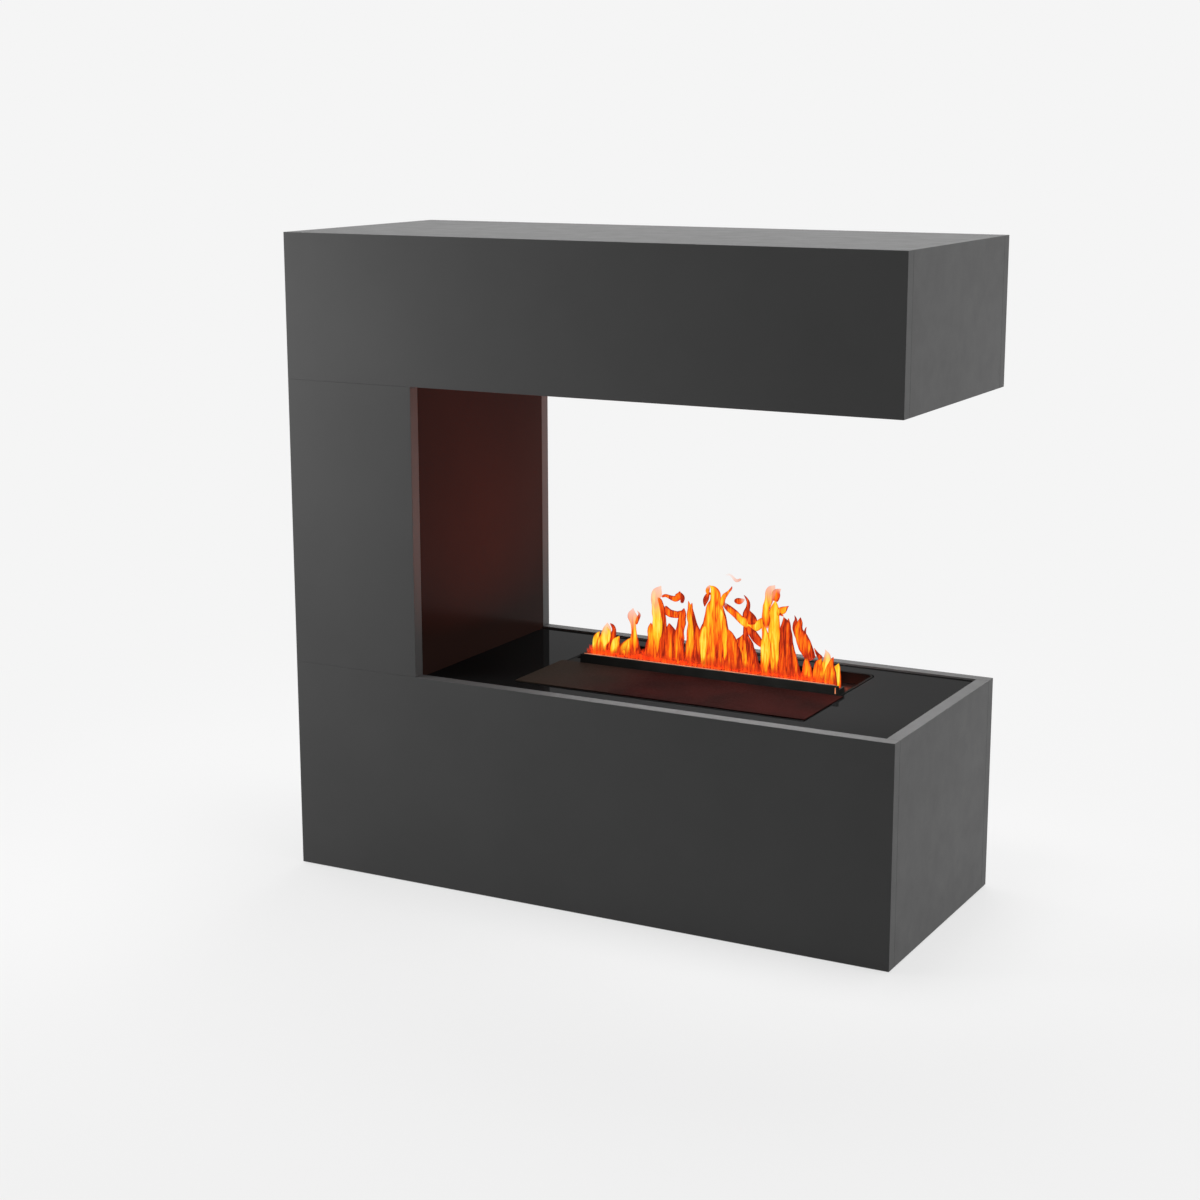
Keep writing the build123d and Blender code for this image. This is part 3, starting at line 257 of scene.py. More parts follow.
for name, setup in lamps.items():
    lamp = bpy.data.objects.new(name, bpy.data.lights.new(name, "AREA"))
    lamp.data.shape = "RECTANGLE"
    lamp.data.size, lamp.data.size_y = setup["size"]
    lamp.data.energy = setup["power"]
    lamp.data.color = setup.get("colour", white[:3])
    lamp.data.spread = math.radians(setup.get("spread", 180))
    lamp.location = setup["place"]
    lamp.rotation_euler = (Vector(setup["aim"]) - lamp.location).to_track_quat("-Z", "Y").to_euler()
    lamp.visible_camera = lamp.visible_glossy = False
    scene.collection.objects.link(lamp)
makeFloor(roomSetup)
print("room lit")


# finishes of the carried-over pieces: colour and roughness wander between two values, with a fine bump;
# patch, smear and grain are the scales of the noise for colour, roughness and bump

finishes = {
    "grey_board": {
        "dark": (0.071, 0.071, 0.071), "light": (0.079, 0.079, 0.079), "patch": 5,
        "rough": (0.46, 0.54), "smear": 30, "grain": 1600, "bump": 0.10, "depth": 0.0001,
        "settings": {"IOR": 1.33},
    },
    "gloss_board": {
        # black gloss board; its dark red tint is painted flame glow
        "dark": (0.024, 0.012, 0.010), "light": (0.030, 0.015, 0.012), "patch": 4,
        "rough": (0.14, 0.20), "smear": 18, "grain": 60, "bump": 0.03, "depth": 0.0002,
        "settings": {"IOR": 1.08},
    },
    "inner_board": {
        "dark": (0.30, 0.20, 0.12), "light": (0.52, 0.38, 0.25), "patch": 260,
        "rough": (0.75, 0.9), "smear": 120, "grain": 900, "bump": 0.4, "depth": 0.0003,
    },
    "black_glass": {
        "dark": (0.005, 0.005, 0.005), "light": (0.007, 0.007, 0.007), "patch": 3,
        "rough": (0.02, 0.05), "smear": 8, "grain": 12, "bump": 0.004, "depth": 0.0002,
        "settings": {"IOR": 1.04},
    },
    "zinc_steel": {
        "dark": (0.50, 0.50, 0.51), "light": (0.72, 0.72, 0.74), "patch": 110,
        "rough": (0.28, 0.48), "smear": 240, "grain": 1800, "bump": 0.10, "depth": 0.0001,
        "settings": {"Metallic": 1.0},
    },
    "black_steel": {
        "dark": (0.013, 0.013, 0.012), "light": (0.018, 0.018, 0.017), "patch": 40,
        "rough": (0.42, 0.55), "smear": 300, "grain": 2400, "bump": 0.25, "depth": 0.0001,
        "settings": {"IOR": 1.04},
    },
    "tray_steel": {
        "dark": (0.0034, 0.0032, 0.0030), "light": (0.0050, 0.0046, 0.0044), "patch": 50,
        "rough": (0.36, 0.48), "smear": 280, "grain": 2400, "bump": 0.2, "depth": 0.0001,
        "settings": {"IOR": 1.04},
    },
    "cover_steel": {
        # the plate's dark red is painted glow of the flames; away from the fire it fades to the plate's own
        # brown
        "dark": (0.0085, 0.0030, 0.0026), "light": (0.0195, 0.0044, 0.0038), "patch": 16,
        "rough": (0.46, 0.62), "smear": 260, "grain": 1700, "bump": 0.55, "depth": 0.00025,
        "settings": {"IOR": 1.03},
        "paintedGlowFade": {"between": (-0.17, 0.04), "colour": (0.034, 0.027, 0.021)},
    },
    "black_plastic": {
        "dark": (0.016, 0.016, 0.017), "light": (0.022, 0.022, 0.023), "patch": 30,
        "rough": (0.42, 0.56), "smear": 160, "grain": 2600, "bump": 0.30, "depth": 0.0001,
    },
    "red_plastic": {
        "dark": (0.42, 0.012, 0.010), "light": (0.50, 0.018, 0.014), "patch": 90,
        "rough": (0.26, 0.36), "smear": 300, "grain": 1400, "bump": 0.12, "depth": 0.0001,
    },
    "grey_plastic": {
        "dark": (0.24, 0.24, 0.25), "light": (0.29, 0.29, 0.30), "patch": 120,
        "rough": (0.40, 0.52), "smear": 400, "grain": 2600, "bump": 0.25, "depth": 0.0001,
    },
    "black_rubber": {
        "dark": (0.018, 0.018, 0.018), "light": (0.028, 0.028, 0.028), "patch": 50,
        "rough": (0.72, 0.86), "smear": 200, "grain": 1900, "bump": 0.4, "depth": 0.00015,
    },
    "tank_plastic": {
        "dark": (0.50, 0.53, 0.55), "light": (0.60, 0.63, 0.65), "patch": 14,
        "rough": (0.34, 0.42), "smear": 60, "grain": 900, "bump": 0.05, "depth": 0.0001,
        "settings": {"Transmission Weight": 0.28, "IOR": 1.49},
    },
    "cap_plastic": {
        "dark": (0.030, 0.034, 0.045), "light": (0.042, 0.048, 0.062), "patch": 80,
        "rough": (0.36, 0.48), "smear": 260, "grain": 2000, "bump": 0.2, "depth": 0.0001,
    },
    "disc_brass": {
        "dark": (0.62, 0.42, 0.16), "light": (0.80, 0.58, 0.26), "patch": 180,
        "rough": (0.22, 0.40), "smear": 500, "grain": 2200, "bump": 0.12, "depth": 0.0001,
        "settings": {"Metallic": 1.0},
    },
    "lamp": {
        "dark": (0.75, 0.62, 0.40), "light": (0.92, 0.80, 0.58), "patch": 400,
        "rough": (0.25, 0.35), "smear": 600, "grain": 1500, "bump": 0.1, "depth": 0.0001,
        "settings": {"Emission Color": (1.0, 0.30, 0.06, 1), "Emission Strength": 2.0},
    },
}


def plainFinish(name, look):
    material, tree, shader, place = startFinish(name, look.get("settings", {}))
    patches = cloud(tree, place, look["patch"], detail=3.0)
    colour = shadeBy(tree, patches, ((cloudSpan[0], look["dark"]), (cloudSpan[1], look["light"])))
    if "paintedGlowFade" in look:  # painted red flame glow on the plate, fading to the plate's own brown away from the fire
        across = addNode(tree, "ShaderNodeSeparateXYZ")
        feed(tree, across.inputs[0], place)
        share = remap(tree, across.outputs["X"], *look["paintedGlowFade"]["between"], 1.0, 0.0)
        colour = blendColours(tree, share, colour, (*look["paintedGlowFade"]["colour"], 1))
    feed(tree, shader.inputs["Base Color"], colour)
    smears = cloud(tree, place, look["smear"], detail=4.0, roughness=0.6)
    feed(tree, shader.inputs["Roughness"], remap(tree, smears, *cloudSpan, *look["rough"]))
    addBump(tree, shader, cloud(tree, place, look["grain"]), look["bump"], look["depth"])
    return material


circuitSetup = {
    "mask": (0.010, 0.085, 0.035), "track": (0.022, 0.150, 0.060), "pitch": 420, "trackShare": 0.46,
    "roughness": 0.32, "bump": 0.3, "depth": 0.00005,
}


def circuitFinish(name, look):
    material, tree, shader, place = startFinish(name, {"Roughness": look["roughness"]})
    runs = addNode(tree, "ShaderNodeTexBrick")
    feed(tree, runs.inputs["Vector"], place)
    runs.inputs["Scale"].default_value = look["pitch"]
    areas = cells(tree, place, look["pitch"] / 2, "Color")
    tracks = compute(tree, "GREATER_THAN", areas, look["trackShare"])
    colour = shadeBy(tree, tracks, ((0.0, look["mask"]), (1.0, look["track"])))
    feed(tree, shader.inputs["Base Color"], colour)
    addBump(tree, shader, runs.outputs["Fac"], look["bump"], look["depth"])
    return material


materials = {slot: plainFinish(slot, look) for slot, look in finishes.items()}
materials["circuit_green"] = circuitFinish("circuit_green", circuitSetup)
ownFinish = {"rear_tray": "tray_steel"}  # the tray is darker than the casing
for nodeName, node in nodes.items():
    finish = ownFinish.get(nodeName, slotOf[nodeName])
    if finish in materials:
        node.data.materials.clear()
        node.data.materials.append(materials[finish])
print("carried-over pieces finished")


# helpers for new pieces

def settle(name, sheet, material, body, slotName, replaced=()):
    mesh = bpy.data.meshes.new(name)
    sheet.to_mesh(mesh)
    sheet.free()
    mesh.materials.append(material)
    piece = bpy.data.objects.new(name, mesh)
    scene.collection.objects.link(piece)
    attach(piece, body)
    if replaced:
        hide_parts(*replaced)
    # fire throws no shadow, and the photograph's glass doesn't mirror it
    piece.visible_shadow = piece.visible_glossy = slotName != "flame"
    return piece


def shadeSmooth(piece):
    for face in piece.data.polygons:
        face.use_smooth = True


def roundedBlock(size, rounding, segments):
    sheet = bmesh.new()
    bmesh.ops.create_cube(sheet, size=1.0)
    bmesh.ops.scale(sheet, vec=size, verts=sheet.verts[:])
    bmesh.ops.bevel(sheet, geom=sheet.edges[:], affect="EDGES", offset=rounding,
                    segments=segments, profile=0.5, material=-1)
    return sheet


# flames: each tongue is a closed, flattened tube along its own line, read from the photograph;
# its vertices keep how far up they are, how near its rim, how warm, and how much its tip fades

flameLayers = ("rise", "rim", "warm", "fade")
flameRamp = (  # warmth and its colour
    (0.00, (0.28, 0.016, 0.007)),
    (0.14, (0.62, 0.038, 0.008)),
    (0.28, (0.92, 0.085, 0.008)),
    (0.42, (1.00, 0.180, 0.010)),
    (0.60, (1.00, 0.350, 0.013)),
    (0.80, (1.00, 0.620, 0.025)),
    (1.00, (1.00, 0.850, 0.120)),
)


def flameFinish(name, look):
    material, tree, shader, place = startFinish(name, {
        "Base Color": (0.02, 0.004, 0.001, 1), "Roughness": 1.0, "Specular IOR Level": 0.0,
        "Emission Strength": look["strength"],
    })
    rise, rim, warm, fade = (
        addNode(tree, "ShaderNodeAttribute", attribute_name=layer).outputs["Fac"] for layer in flameLayers
    )
    streaks = cloud(tree, stretch(tree, place, look["streakScale"]), 1.0, detail=4.0, roughness=0.62)
    streak = remap(tree, streaks, *cloudSpan, -look["streakDepth"], look["streakDepth"])
    warmth = compute(tree, "ADD", warm, streak)
    edge = compute(tree, "MULTIPLY", compute(tree, "POWER", rim, look["rimPower"]), look["rimDepth"])
    warmth = compute(tree, "SUBTRACT", warmth, edge)
    threads = cloud(tree, stretch(tree, place, look["threadScale"]), 1.0)
    threads = compute(tree, "ABSOLUTE", compute(tree, "SUBTRACT", threads, 0.5))  # 0 along a thread
    thread = remap(tree, threads, 0.0, look["threadWidth"], look["threadDepth"], 0.0)
    warmth = compute(tree, "SUBTRACT", warmth, thread)
    root = remap(tree, rise, 0.0, look["rootReach"], look["rootCool"], 0.0)
    warmth = compute(tree, "SUBTRACT", warmth, root)
    pale = compute(tree, "MULTIPLY", fade, remap(tree, rise, look["fadeFrom"], 1.0, 0.0, look["paleShare"]))
    colour = blendColours(tree, pale, shadeBy(tree, warmth, flameRamp), (*look["paleTip"], 1))
    feed(tree, shader.inputs["Emission Color"], colour)
    thin = compute(tree, "MULTIPLY", fade, remap(tree, rise, look["fadeFrom"], 1.0, 0.0, look["fadeDepth"]))
    gaps = compute(tree, "SUBTRACT", remap(tree, rise, 0.0, look["rootShare"], look["rootGap"], 0.0), streaks)
    gaps = compute(tree, "MULTIPLY", gaps, look["rootDepth"], clamp=True)
    thin = compute(tree, "ADD", thin, gaps, clamp=True)
    feed(tree, shader.inputs["Alpha"], compute(tree, "SUBTRACT", 1.0, thin, clamp=True))
    return material


flameSetup = {
    "slotY": 9,
    "rootZ": 311,
    "widen": 1.22,  # on the half widths below
    "leastHalf": 0.15,
    "thinness": 0.34,  # thickness over width
    "thinnest": 0.2,
    "deepest": 3.2,
    "sides": 16,
    "step": 4,  # spacing of the rings along a tongue
    "tipReach": 1.6,  # how far a tip runs on, in its last half widths
    "tipHalf": 0.2,
    "ripple": ((95, 1.7), (240, 0.7)),  # waves per metre, height
    "rippleRise": 3,  # the ripple is full a third of the way up
    "seed": 5,  # unseeded, the ripple would differ each run
    "sinkY": (-1.0, 0.9, -0.3, 1.4, 0.2),  # neighbours stand at different depths in the slot
    "strength": 1.0,
    "streakScale": (230, 90, 24),
    "streakDepth": 0.30,
    "threadScale": (170, 60, 14),
    "threadWidth": 0.05,
    "threadDepth": 0.30,
    "rimPower": 5.0,
    "rimDepth": 0.62,
    "paleTip": (1.0, 0.52, 0.36),
    "paleShare": 0.85,
    "fadeFrom": 0.55,
    "fadeDepth": 0.62,
    "rootShare": 0.20,
    "rootGap": 0.78,
    "rootDepth": 2.6,
    "rootReach": 0.28,
    "rootCool": 0.22,
    "wispStart": 0.72,
    "wisps": (  # faint mist torn off over the flames
        ((.2, .2, .2), 1.7, [(150, 130.5, 0.9), (144, 126.5, 1.9), (138, 131.5, 1.5), (132, 135, 1.2),
                             (124.5, 132, 0.8)]),
    ),
    "tongues": (  # warmth at root, middle and tip; 1 for a fading tip; line of x, height, half width
        ((.85, .9, .7), 0, [(-74, 2, 2.9), (-75, 16, 3.4), (-72, 27, 3.2), (-68, 33, 1.1)]),
        ((.6, .95, .85), 1, [(-64, 1, 6.8), (-65, 10, 7.1), (-62, 21, 7.1), (-58, 31, 6.3), (-56, 40, 4.8),
                             (-56, 46, 1.6)]),
        ((.7, 1.0, .9), 0, [(-69, 3, 2.5), (-62, 13, 3.2), (-56, 22, 3.4), (-53, 32, 3.0), (-55, 40, 1.4)]),
        ((.35, .2, .15), 0, [(-52, 4, 6.3), (-50, 19, 5.2), (-47, 30, 4.1), (-46, 40, 3.0),
                             (-51, 46, 0.9)]),
        ((.55, .95, .75), 0, [(-44, 3, 7.1), (-44, 14, 5.9), (-41, 23, 4.6), (-37, 29, 1.1)]),
        ((.4, .8, .6), 0, [(-26, 3, 10.8), (-27, 13, 7.5), (-24, 21, 4.6), (-19, 29, 1.1)]),
        ((.4, .7, .5), 1, [(-9, 2, 9.1), (-12, 14, 7.1), (-14, 27, 5.5), (-14, 37, 3.9), (-14, 46, 3.2),
                           (-15, 53, 4.8), (-16, 59, 6.8), (-16, 65, 5.2), (-15, 70, 1.4)]),
        ((.3, .3, .2), 1, [(-10, 50, 1.6), (-7, 58, 2.1), (-4, 65, 1.6), (-7, 69, 0.7)]),
        ((.35, .4, .3), 0, [(11, 3, 8.6), (11, 19, 6.3), (12, 36, 4.1), (12, 47, 3.6), (12, 52, 2.5)]),
        ((.45, 1.0, .75), 1, [(21, 1, 13.1), (20, 18, 10.0), (21, 32, 8.7), (24, 44, 8.7), (25, 58, 8.0),
                              (23, 71, 6.8), (21, 82, 5.9), (20, 91, 5.9), (23, 100, 6.4), (27, 106, 2.5)]),
        ((.35, .35, .5), 0, [(34, 4, 6.8), (33, 23, 5.5), (34, 38, 4.1), (34, 59, 3.4), (32, 74, 3.4),
                             (28, 87, 2.7), (25, 92, 0.9)]),
        ((.35, .45, .3), 0, [(29, 93, 1.1), (35, 96, 2.1), (43, 94, 2.5), (50, 92, 3.2), (55, 96, 3.9),
                             (57, 102, 1.1)]),
        ((.3, .3, .25), 0, [(61, 87, 1.4), (62, 94, 3.0), (60, 100, 2.3), (57, 103, 0.7)]),
        ((.35, .4, .35), 0, [(32, 79, 3.9), (39, 73, 5.0), (47, 71, 4.3), (54, 71, 3.9), (61, 75, 3.0)]),
        ((.4, .3, .25), 0, [(44, 2, 16.0), (44, 23, 13.1), (44, 38, 10.0), (43, 48, 6.8)]),
        ((.4, .45, .3), 0, [(58, 2, 8.6), (57, 20, 7.1), (57, 36, 6.8), (59, 50, 5.7), (61, 62, 5.7),
                            (63, 73, 5.0), (65, 80, 1.4)]),
        ((.45, .7, .4), 0, [(75, 2, 8.6), (75, 20, 7.3), (76, 37, 6.8), (77, 48, 6.8), (76, 62, 5.5),
                            (73, 74, 3.9), (73, 84, 2.3), (71, 91, 0.7)]),
        ((.35, .3, .2), 0, [(88, 2, 8.0), (87, 24, 7.1), (86, 39, 5.9), (84, 49, 4.6), (81, 62, 3.2),
                            (78, 72, 2.1), (75, 81, 1.6), (77, 89, 0.6)]),
        ((.45, .5, .35), 0, [(86, -3, 10.1), (84, 18, 9.0), (85, 35, 6.9), (88, 46, 3.8), (90, 51, 1.0)]),
        ((.4, .6, .75), 0, [(102, -5, 16.7), (101, 15, 15.5), (103, 31, 15.5), (105, 48, 15.2),
                            (106, 62, 11.9), (107, 73, 10.7), (110, 86, 9.5), (112, 97, 6.7),
                            (112, 106, 6.0), (109, 113, 4.5), (104, 116, 1.2)]),
        ((.75, 1.0, .8), 0, [(96, 1, 5.4), (95, 20, 5.5), (95, 36, 6.0), (96, 47, 5.0), (100, 59, 4.0),
                             (104, 72, 1.7)]),
        ((.5, .9, .8), 0, [(113, 15, 3.1), (113, 38, 4.0), (115, 54, 4.8), (114, 70, 5.2), (113, 86, 5.0),
                           (112, 99, 4.3), (110, 108, 1.4)]),
        ((.5, .75, .7), 0, [(133, -1, 5.0), (131, 24, 5.0), (128, 45, 4.8), (125, 61, 4.3), (122, 76, 3.8),
                            (119, 86, 1.4)]),
        ((.35, .35, .45), 0, [(121, -2, 14.3), (122, 23, 11.4), (123, 44, 9.5), (121, 66, 7.1),
                              (119, 80, 6.0), (118, 94, 3.1)]),
        ((.3, .2, .15), 0, [(107, 103, 1.0), (103, 107, 2.0), (100, 102, 2.9), (97, 95, 3.2),
                            (96, 88, 1.1)]),
        ((.45, .4, .35), 1, [(103, 103, 1.4), (100, 108, 2.4), (101, 113, 2.6), (103, 117, 0.8)]),
        ((.6, .6, .3), 0, [(121, 90, 3.6), (123, 101, 2.9), (128, 107, 2.6), (133, 113, 2.0),
                           (136, 119, 0.6)]),
        ((.35, .75, .8), 0, [(124, 94, 2.4), (132, 88, 3.8), (140, 83, 4.2), (147, 77, 4.3), (154, 72, 5.0),
                             (162, 69, 5.0), (170, 66, 5.5), (177, 69, 5.2), (182, 77, 3.1)]),
        ((.3, .2, .12), 0, [(158, 71, 5.0), (158, 83, 4.3), (160, 93, 2.6), (160, 101, 1.9),
                            (157, 106, 1.3), (154, 108, 0.5)]),
        ((.35, .3, .25), 0, [(167, 68, 8.3), (166, 77, 6.7), (165, 82, 4.5), (164, 86, 1.7)]),
        ((.45, .3, .3), 0, [(160, 67, 4.0), (168, 58, 5.5), (175, 50, 5.5), (181, 43, 3.6)]),
        ((.35, .3, .3), 0, [(159, 45, 5.0), (157, 57, 2.4), (156, 65, 2.6), (157, 71, 2.1)]),
        ((.4, .35, .3), 0, [(141, -1, 13.7), (141, 19, 12.4), (139, 35, 9.5), (136, 48, 5.7),
                            (133, 56, 1.7)]),
        ((.4, .6, .35), 0, [(157, -2, 12.5), (156, 16, 10.9), (153, 32, 9.8), (152, 42, 8.3),
                            (154, 49, 3.6)]),
        ((.35, .3, .25), 0, [(171, -3, 10.1), (169, 17, 7.4), (165, 33, 6.2), (163, 43, 4.8),
                             (159, 52, 2.1)]),
        ((.5, 1.0, .8), 0, [(189, -1, 7.1), (188, 14, 6.0), (189, 28, 6.2), (189, 41, 6.5), (188, 52, 5.2),
                            (186, 62, 3.6), (184, 72, 1.4)]),
        ((.45, .95, .85), 0, [(203, 0, 8.9), (203, 16, 7.4), (201, 34, 7.4), (200, 48, 7.4), (200, 60, 7.9),
                              (200, 74, 7.1), (199, 87, 6.5), (200, 97, 4.8), (201, 104, 1.4)]),
        ((.5, .8, .6), 1, [(188, 66, 3.6), (188, 78, 5.2), (187, 88, 4.8), (188, 96, 4.3), (191, 105, 5.2),
                           (193, 113, 6.0), (195, 120, 5.7), (198, 125, 1.7)]),
        ((.5, .45, .35), 1, [(199, 104, 3.6), (201, 112, 4.8), (202, 118, 4.5), (206, 121, 1.4)]),
        ((.55, .75, .6), 0, [(202, 86, 3.1), (208, 92, 4.0), (214, 95, 4.5), (219, 99, 1.4)]),
        ((.4, .3, .3), 0, [(207, 90, 1.4), (210, 88, 1.7), (213, 86, 0.6)]),
        ((.3, .4, .3), 1, [(139, 99, 1.0), (143, 99, 3.3), (147, 99, 4.0), (152, 101, 2.4),
                           (155, 103, 0.6)]),
        ((.35, .25, .2), 0, [(218, -2, 12.3), (217, 17, 10.1), (217, 34, 8.5), (217, 51, 7.7),
                             (217, 63, 6.7), (217, 74, 5.7), (214, 83, 1.0)]),
        ((.4, .45, .3), 0, [(232, -1, 8.4), (229, 18, 6.2), (226, 35, 4.6), (223, 52, 3.4), (221, 69, 2.6),
                            (220, 81, 0.9)]),
        ((.45, .65, .5), 0, [(251, -3, 8.0), (249, 15, 5.9), (248, 26, 3.9), (248, 36, 0.9)]),
        ((.3, .55, .4), 0, [(254, 29, 4.9), (250, 40, 7.7), (244, 51, 8.0), (240, 61, 7.7), (236, 67, 6.7),
                            (236, 74, 4.9), (237, 80, 3.4), (238, 86, 1.0)]),
        ((.35, .3, .2), 0, [(232, 61, 2.1), (229, 70, 2.6), (230, 78, 2.3), (231, 84, 1.7),
                            (229, 88, 0.6)]),
        ((.35, .3, .2), 0, [(244, 58, 2.6), (245, 67, 1.5), (247, 74, 0.5)]),
        ((.3, .25, .2), 0, [(256, 32, 3.6), (254, 42, 3.1), (250, 49, 1.0)]),
        ((.45, .6, .5), 0, [(268, -5, 9.7), (266, 11, 7.5), (266, 23, 6.2), (268, 33, 1.8)]),
        ((.3, .2, .15), 0, [(270, 33, 3.4), (266, 37, 2.8), (262, 42, 1.7), (259, 46, 0.5)]),
        ((.6, 1.0, .8), 1, [(275, 6, 7.5), (276, 22, 5.9), (278, 31, 4.9), (277, 39, 3.6), (275, 45, 1.0)]),
        ((.5, .5, .3), 0, [(282, -3, 10.3), (282, 13, 8.0), (283, 25, 4.9), (286, 36, 1.3)]),
        ((.8, 1.0, .8), 0, [(289, -4, 7.5), (290, 7, 6.4), (290, 17, 5.4), (292, 25, 3.1), (293, 29, 0.6)]),
    ),
}


def fineLine(line, step):  # a smooth run through a line's points, about one step apart
    fine = []
    for index in range(len(line) - 1):
        around = (min(max(index + shift, 0), len(line) - 1) for shift in (-1, 0, 1, 2))
        before, start, end, after = (Vector(line[place]) for place in around)
        pieces = max(1, round((end - start).length / step))
        for part in range(pieces):
            share = part / pieces
            ease = (
                start * 2 + (end - before) * share
                + (before * 2 - start * 5 + end * 4 - after) * share ** 2
                + (start * 3 - before - end * 3 + after) * share ** 3
            ) / 2
            fine.append(ease)
    return fine + [Vector(line[-1])]


def leanAt(line, index):  # about y
    before, after = line[max(index - 1, 0)], line[min(index + 1, len(line) - 1)]
    return math.atan2(after[0] - before[0], after[1] - before[1])


def warmthAt(heats, share):  # from the root over the middle to the tip
    root, middle, tip = heats
    if share < 0.5:
        return root + (middle - root) * share * 2
    return middle + (tip - middle) * (share * 2 - 1)


def edgesOf(ring, wanted):  # each edge once
    return list(dict.fromkeys(edge for vert in ring for edge in vert.link_edges if wanted(edge)))


def addTongue(sheet, layers, setup, row, depth, riseFrom=0.0):
    heats, fade, line = row
    ring = []
    last = Matrix.Identity(4)
    onward = (Vector(line[-1][:2]) - Vector(line[-2][:2])).normalized() * line[-1][2] * setup["tipReach"]
    end = (line[-1][0] + onward.x, line[-1][1] + onward.y, setup["tipHalf"])
    line = fineLine(line + [end], setup["step"])
    travelled = [0.0]
    for here, there in zip(line, line[1:]):
        travelled.append(travelled[-1] + math.dist(here[:2], there[:2]))
    for index, (x, height, half) in enumerate(line):
        half = max(half, setup["leastHalf"]) * setup["widen"]
        thick = min(max(half * setup["thinness"], setup["thinnest"]), setup["deepest"])
        placed = (
            Matrix.Translation(Vector((x, setup["slotY"] + depth, setup["rootZ"] + height)) * mm)
            @ Matrix.Rotation(leanAt(line, index), 4, "Y")
            @ Matrix.Diagonal((half * mm, thick * mm, 1, 1))
        )
        if not ring:
            ring = bmesh.ops.create_circle(sheet, cap_ends=True, segments=setup["sides"], radius=1)["verts"]
            for vert in ring:
                vert[layers["rim"]] = abs(vert.co.x)
                vert[layers["fade"]] = fade
        else:
            members = set(ring)
            edges = edgesOf(ring, lambda edge: members.issuperset(edge.verts))
            grown = bmesh.ops.extrude_edge_only(sheet, edges=edges)["geom"]
            ring = [item for item in grown if isinstance(item, bmesh.types.BMVert)]
        bmesh.ops.transform(sheet, matrix=placed @ last.inverted(), verts=ring)
        last = placed
        share = travelled[index] / travelled[-1]
        for vert in ring:
            vert[layers["rise"]] = riseFrom + (1 - riseFrom) * share
            vert[layers["warm"]] = warmthAt(heats, share)
    bmesh.ops.contextual_create(sheet, geom=edgesOf(ring, lambda edge: edge.is_boundary))


def startFlames():
    sheet = bmesh.new()
    return sheet, {layer: sheet.verts.layers.float.new(layer) for layer in flameLayers}


def makeFlames(setup):
    sheet, layers = startFlames()
    sinks = setup["sinkY"]
    noise.seed_set(setup["seed"])
    for index, row in enumerate(setup["tongues"]):
        addTongue(sheet, layers, setup, row, sinks[index % len(sinks)])
    for row in setup["wisps"]:
        addTongue(sheet, layers, setup, row, 0, setup["wispStart"])
    for vert in sheet.verts:
        sway = Vector()
        for waves, height in setup["ripple"]:
            sway += noise.noise_vector(vert.co * waves) * height * mm
        vert.co += Vector((sway.x, 0, sway.z)) * min(1, vert[layers["rise"]] * setup["rippleRise"])
    bmesh.ops.recalc_face_normals(sheet, faces=sheet.faces[:])
    finish = flameFinish("flameTongues", setup)
    piece = settle("flameTongues", sheet, finish, "cassette", "flame", ("vapour_flame",))
    rounding = piece.modifiers.new("rounding", "SUBSURF")
    rounding.levels = rounding.render_levels = 1
    shadeSmooth(piece)


makeFlames(flameSetup)
print("flame tongues made")


# curtain of short flames along the whole slot, in two sheets

curtainSetup = {
    "left": -86, "right": 291, "rootZ": 309, "height": 26, "sheets": (5.6, 12.2), "thickness": 1.2,
    "across": 160, "up": 8,
    "lick": 0.72, "lickSpread": 0.55, "lickWaves": 21,  # a flame's height as a share of the curtain's
    "sway": 0.8, "swayWaves": 14, "swaySeed": 3,
    "warmRoot": 0.27, "warmDrop": 0.14,
    "strength": 1.0, "streakScale": (260, 90, 18), "streakDepth": 0.26, "rimPower": 1.0, "rimDepth": 0.0,
    "threadScale": (200, 60, 10), "threadWidth": 0.06, "threadDepth": 0.25,
    "paleTip": (0.80, 0.06, 0.012), "paleShare": 0.85, "fadeFrom": 0.15, "fadeDepth": 1.2,
    "rootShare": 1.0, "rootGap": 0.80, "rootDepth": 2.4, "rootReach": 1.0, "rootCool": 0.06,
}


def makeCurtain(setup):
    sheet, layers = startFlames()
    size = Vector((setup["right"] - setup["left"], setup["height"], setup["height"])) * mm
    upright = Matrix.Rotation(math.pi / 2, 3, "X")
    for y in setup["sheets"]:
        grid = bmesh.ops.create_grid(
            sheet, x_segments=setup["across"], y_segments=setup["up"], size=0.5)["verts"]
        bmesh.ops.rotate(sheet, verts=grid, matrix=upright)
        for vert in grid:
            share = vert.co.z + 0.5
            gust = noise.noise(Vector((vert.co.x * setup["lickWaves"], y, 0)))
            lean = noise.noise(Vector((vert.co.x * setup["swayWaves"], y, setup["swaySeed"])))
            vert[layers["rise"]] = share
            vert[layers["warm"]] = setup["warmRoot"] - setup["warmDrop"] * share
            vert[layers["fade"]] = 1
            vert.co.z = share * (setup["lick"] + setup["lickSpread"] * gust)
            vert.co.y = share * setup["sway"] * lean / setup["height"]
        bmesh.ops.scale(sheet, vec=size, verts=grid)
        middle = Vector(((setup["left"] + setup["right"]) / 2, y, setup["rootZ"])) * mm
        bmesh.ops.translate(sheet, vec=middle, verts=grid)
    finish = flameFinish("flameCurtain", setup)
    piece = settle("flameCurtain", sheet, finish, "cassette", "flame", ("vapour_flame",))
    body = piece.modifiers.new("body", "SOLIDIFY")
    body.thickness = setup["thickness"] * mm
    body.offset = 0


makeCurtain(curtainSetup)
print("flame curtain made")


# lit mist along the bar's lip and in the small slit

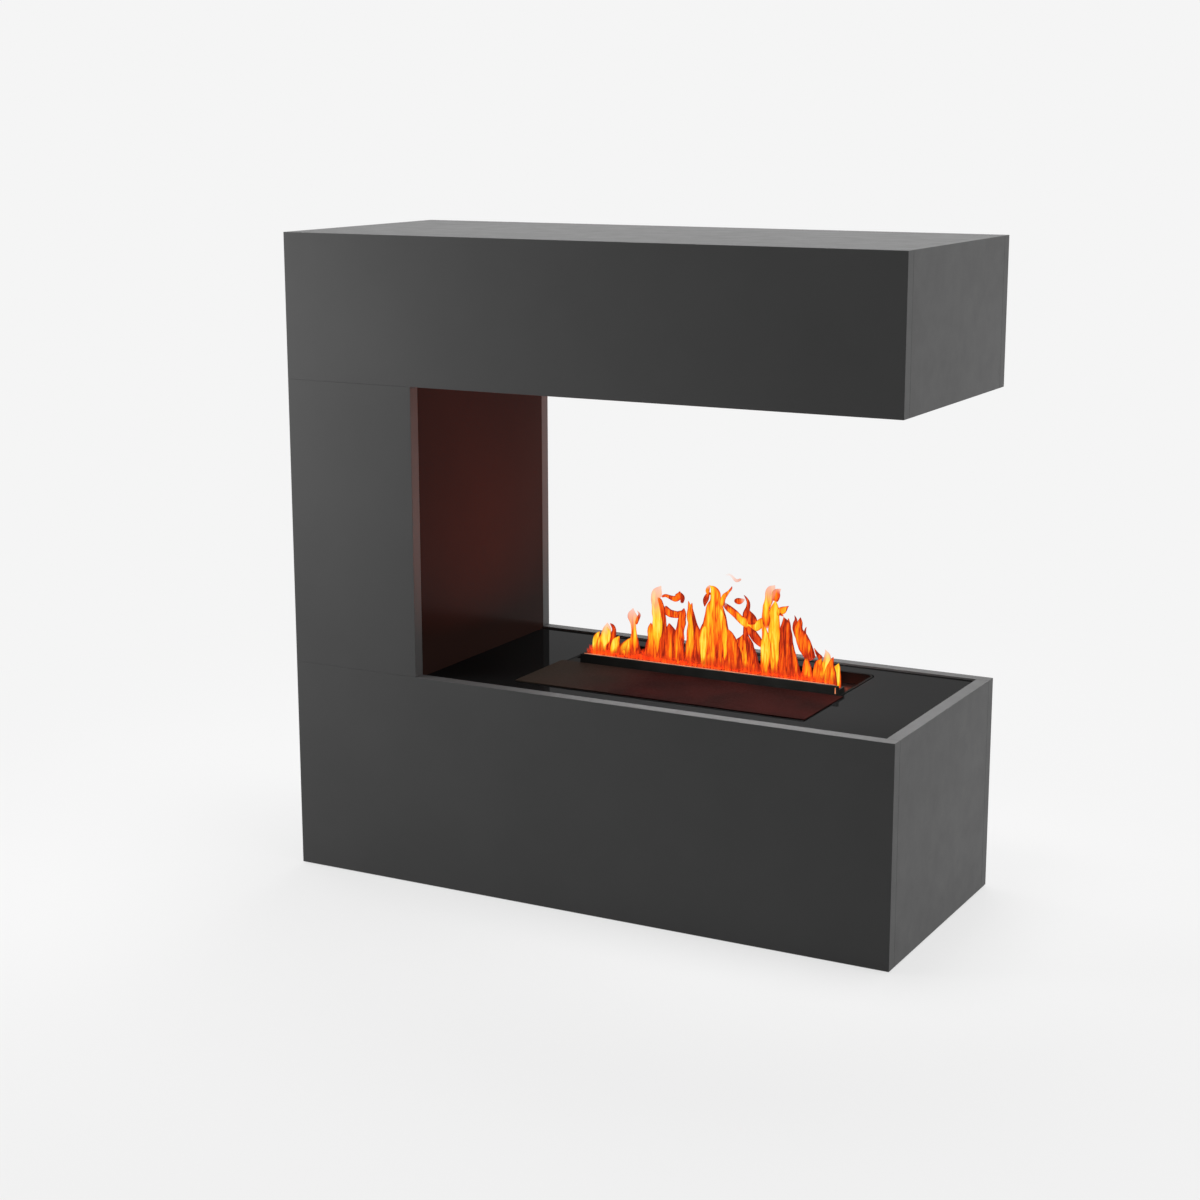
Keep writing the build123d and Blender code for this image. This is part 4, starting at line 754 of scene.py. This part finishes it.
glowSetup = {
    "lipGlow": {"middle": (100.5, 4.75, 311.3), "size": (381, 1.2, 1.7), "colour": (1.0, 0.34, 0.18)},
    "slitGlow": {"middle": (293.4, 3.0, 305.0), "size": (1.7, 5.2, 8.6), "colour": (1.0, 0.34, 0.16)},
}
glowLook = {
    "strength": 1.0,
    "dim": 0.45,  # of the colour, where the mist is thin
    "drift": 60,
    "driftSpan": (0.25, 0.6),
    "rounding": 0.45,  # of the smallest side
    "segments": 3,
}


def glowFinish(name, bright, look):
    material, tree, shader, place = startFinish(name, {
        "Base Color": (0.02, 0.006, 0.003, 1), "Roughness": 1.0, "Specular IOR Level": 0.0,
        "Emission Strength": look["strength"],
    })
    drift = cloud(tree, place, look["drift"], detail=3.0)
    dim = tuple(channel * look["dim"] for channel in bright)
    low, high = look["driftSpan"]
    feed(tree, shader.inputs["Emission Color"], shadeBy(tree, drift, ((low, dim), (high, bright))))
    return material


def makeGlow(name, setup, look):
    rounding = min(setup["size"]) * look["rounding"] * mm
    sheet = roundedBlock(Vector(setup["size"]) * mm, rounding, look["segments"])
    bmesh.ops.translate(sheet, vec=Vector(setup["middle"]) * mm, verts=sheet.verts[:])
    settle(name, sheet, glowFinish(name, setup["colour"], look), "cassette", "flame")


for name, setup in glowSetup.items():
    makeGlow(name, setup, glowLook)
print("lit mist made")


# open-cell filter foam

foamSetup = {
    "rounding": 1.2, "segments": 2, "cuts": 5,
    "dent": 0.35, "dentBase": 0.5, "dentWaves": 900,
    # pit is painted shade inside the open pores; wall is the foam's own colour
    "pores": 520, "poreSpan": (0.15, 0.6), "pit": (0.006, 0.006, 0.007), "wall": (0.030, 0.030, 0.032),
    "roughness": 0.92, "gloss": 0.2, "bump": 0.9, "depth": 0.0008,
}


def foamFinish(name, look):
    settings = {"Roughness": look["roughness"], "Specular IOR Level": look["gloss"]}
    material, tree, shader, place = startFinish(name, settings)
    pores = cells(tree, place, look["pores"])
    low, high = look["poreSpan"]
    # pore centres get the painted shade, the cell walls the foam's own colour
    feed(tree, shader.inputs["Base Color"], shadeBy(tree, pores, ((low, look["pit"]), (high, look["wall"]))))
    addBump(tree, shader, pores, look["bump"], look["depth"])
    return material


def makeFoam(setup):
    low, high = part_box("filter_foam")
    sheet = roundedBlock(high - low, setup["rounding"] * mm, setup["segments"])
    bmesh.ops.subdivide_edges(sheet, edges=sheet.edges[:], cuts=setup["cuts"], use_grid_fill=True)
    for vert in sheet.verts:
        dent = setup["dentBase"] + noise.noise(vert.co * setup["dentWaves"])
        vert.co -= vert.normal * setup["dent"] * mm * dent
    bmesh.ops.translate(sheet, vec=(low + high) / 2, verts=sheet.verts[:])
    piece = settle("filterFoam", sheet, foamFinish("filterFoam", setup), "cassette", "foam", ("filter_foam",))
    shadeSmooth(piece)


makeFoam(foamSetup)
print("foam made")
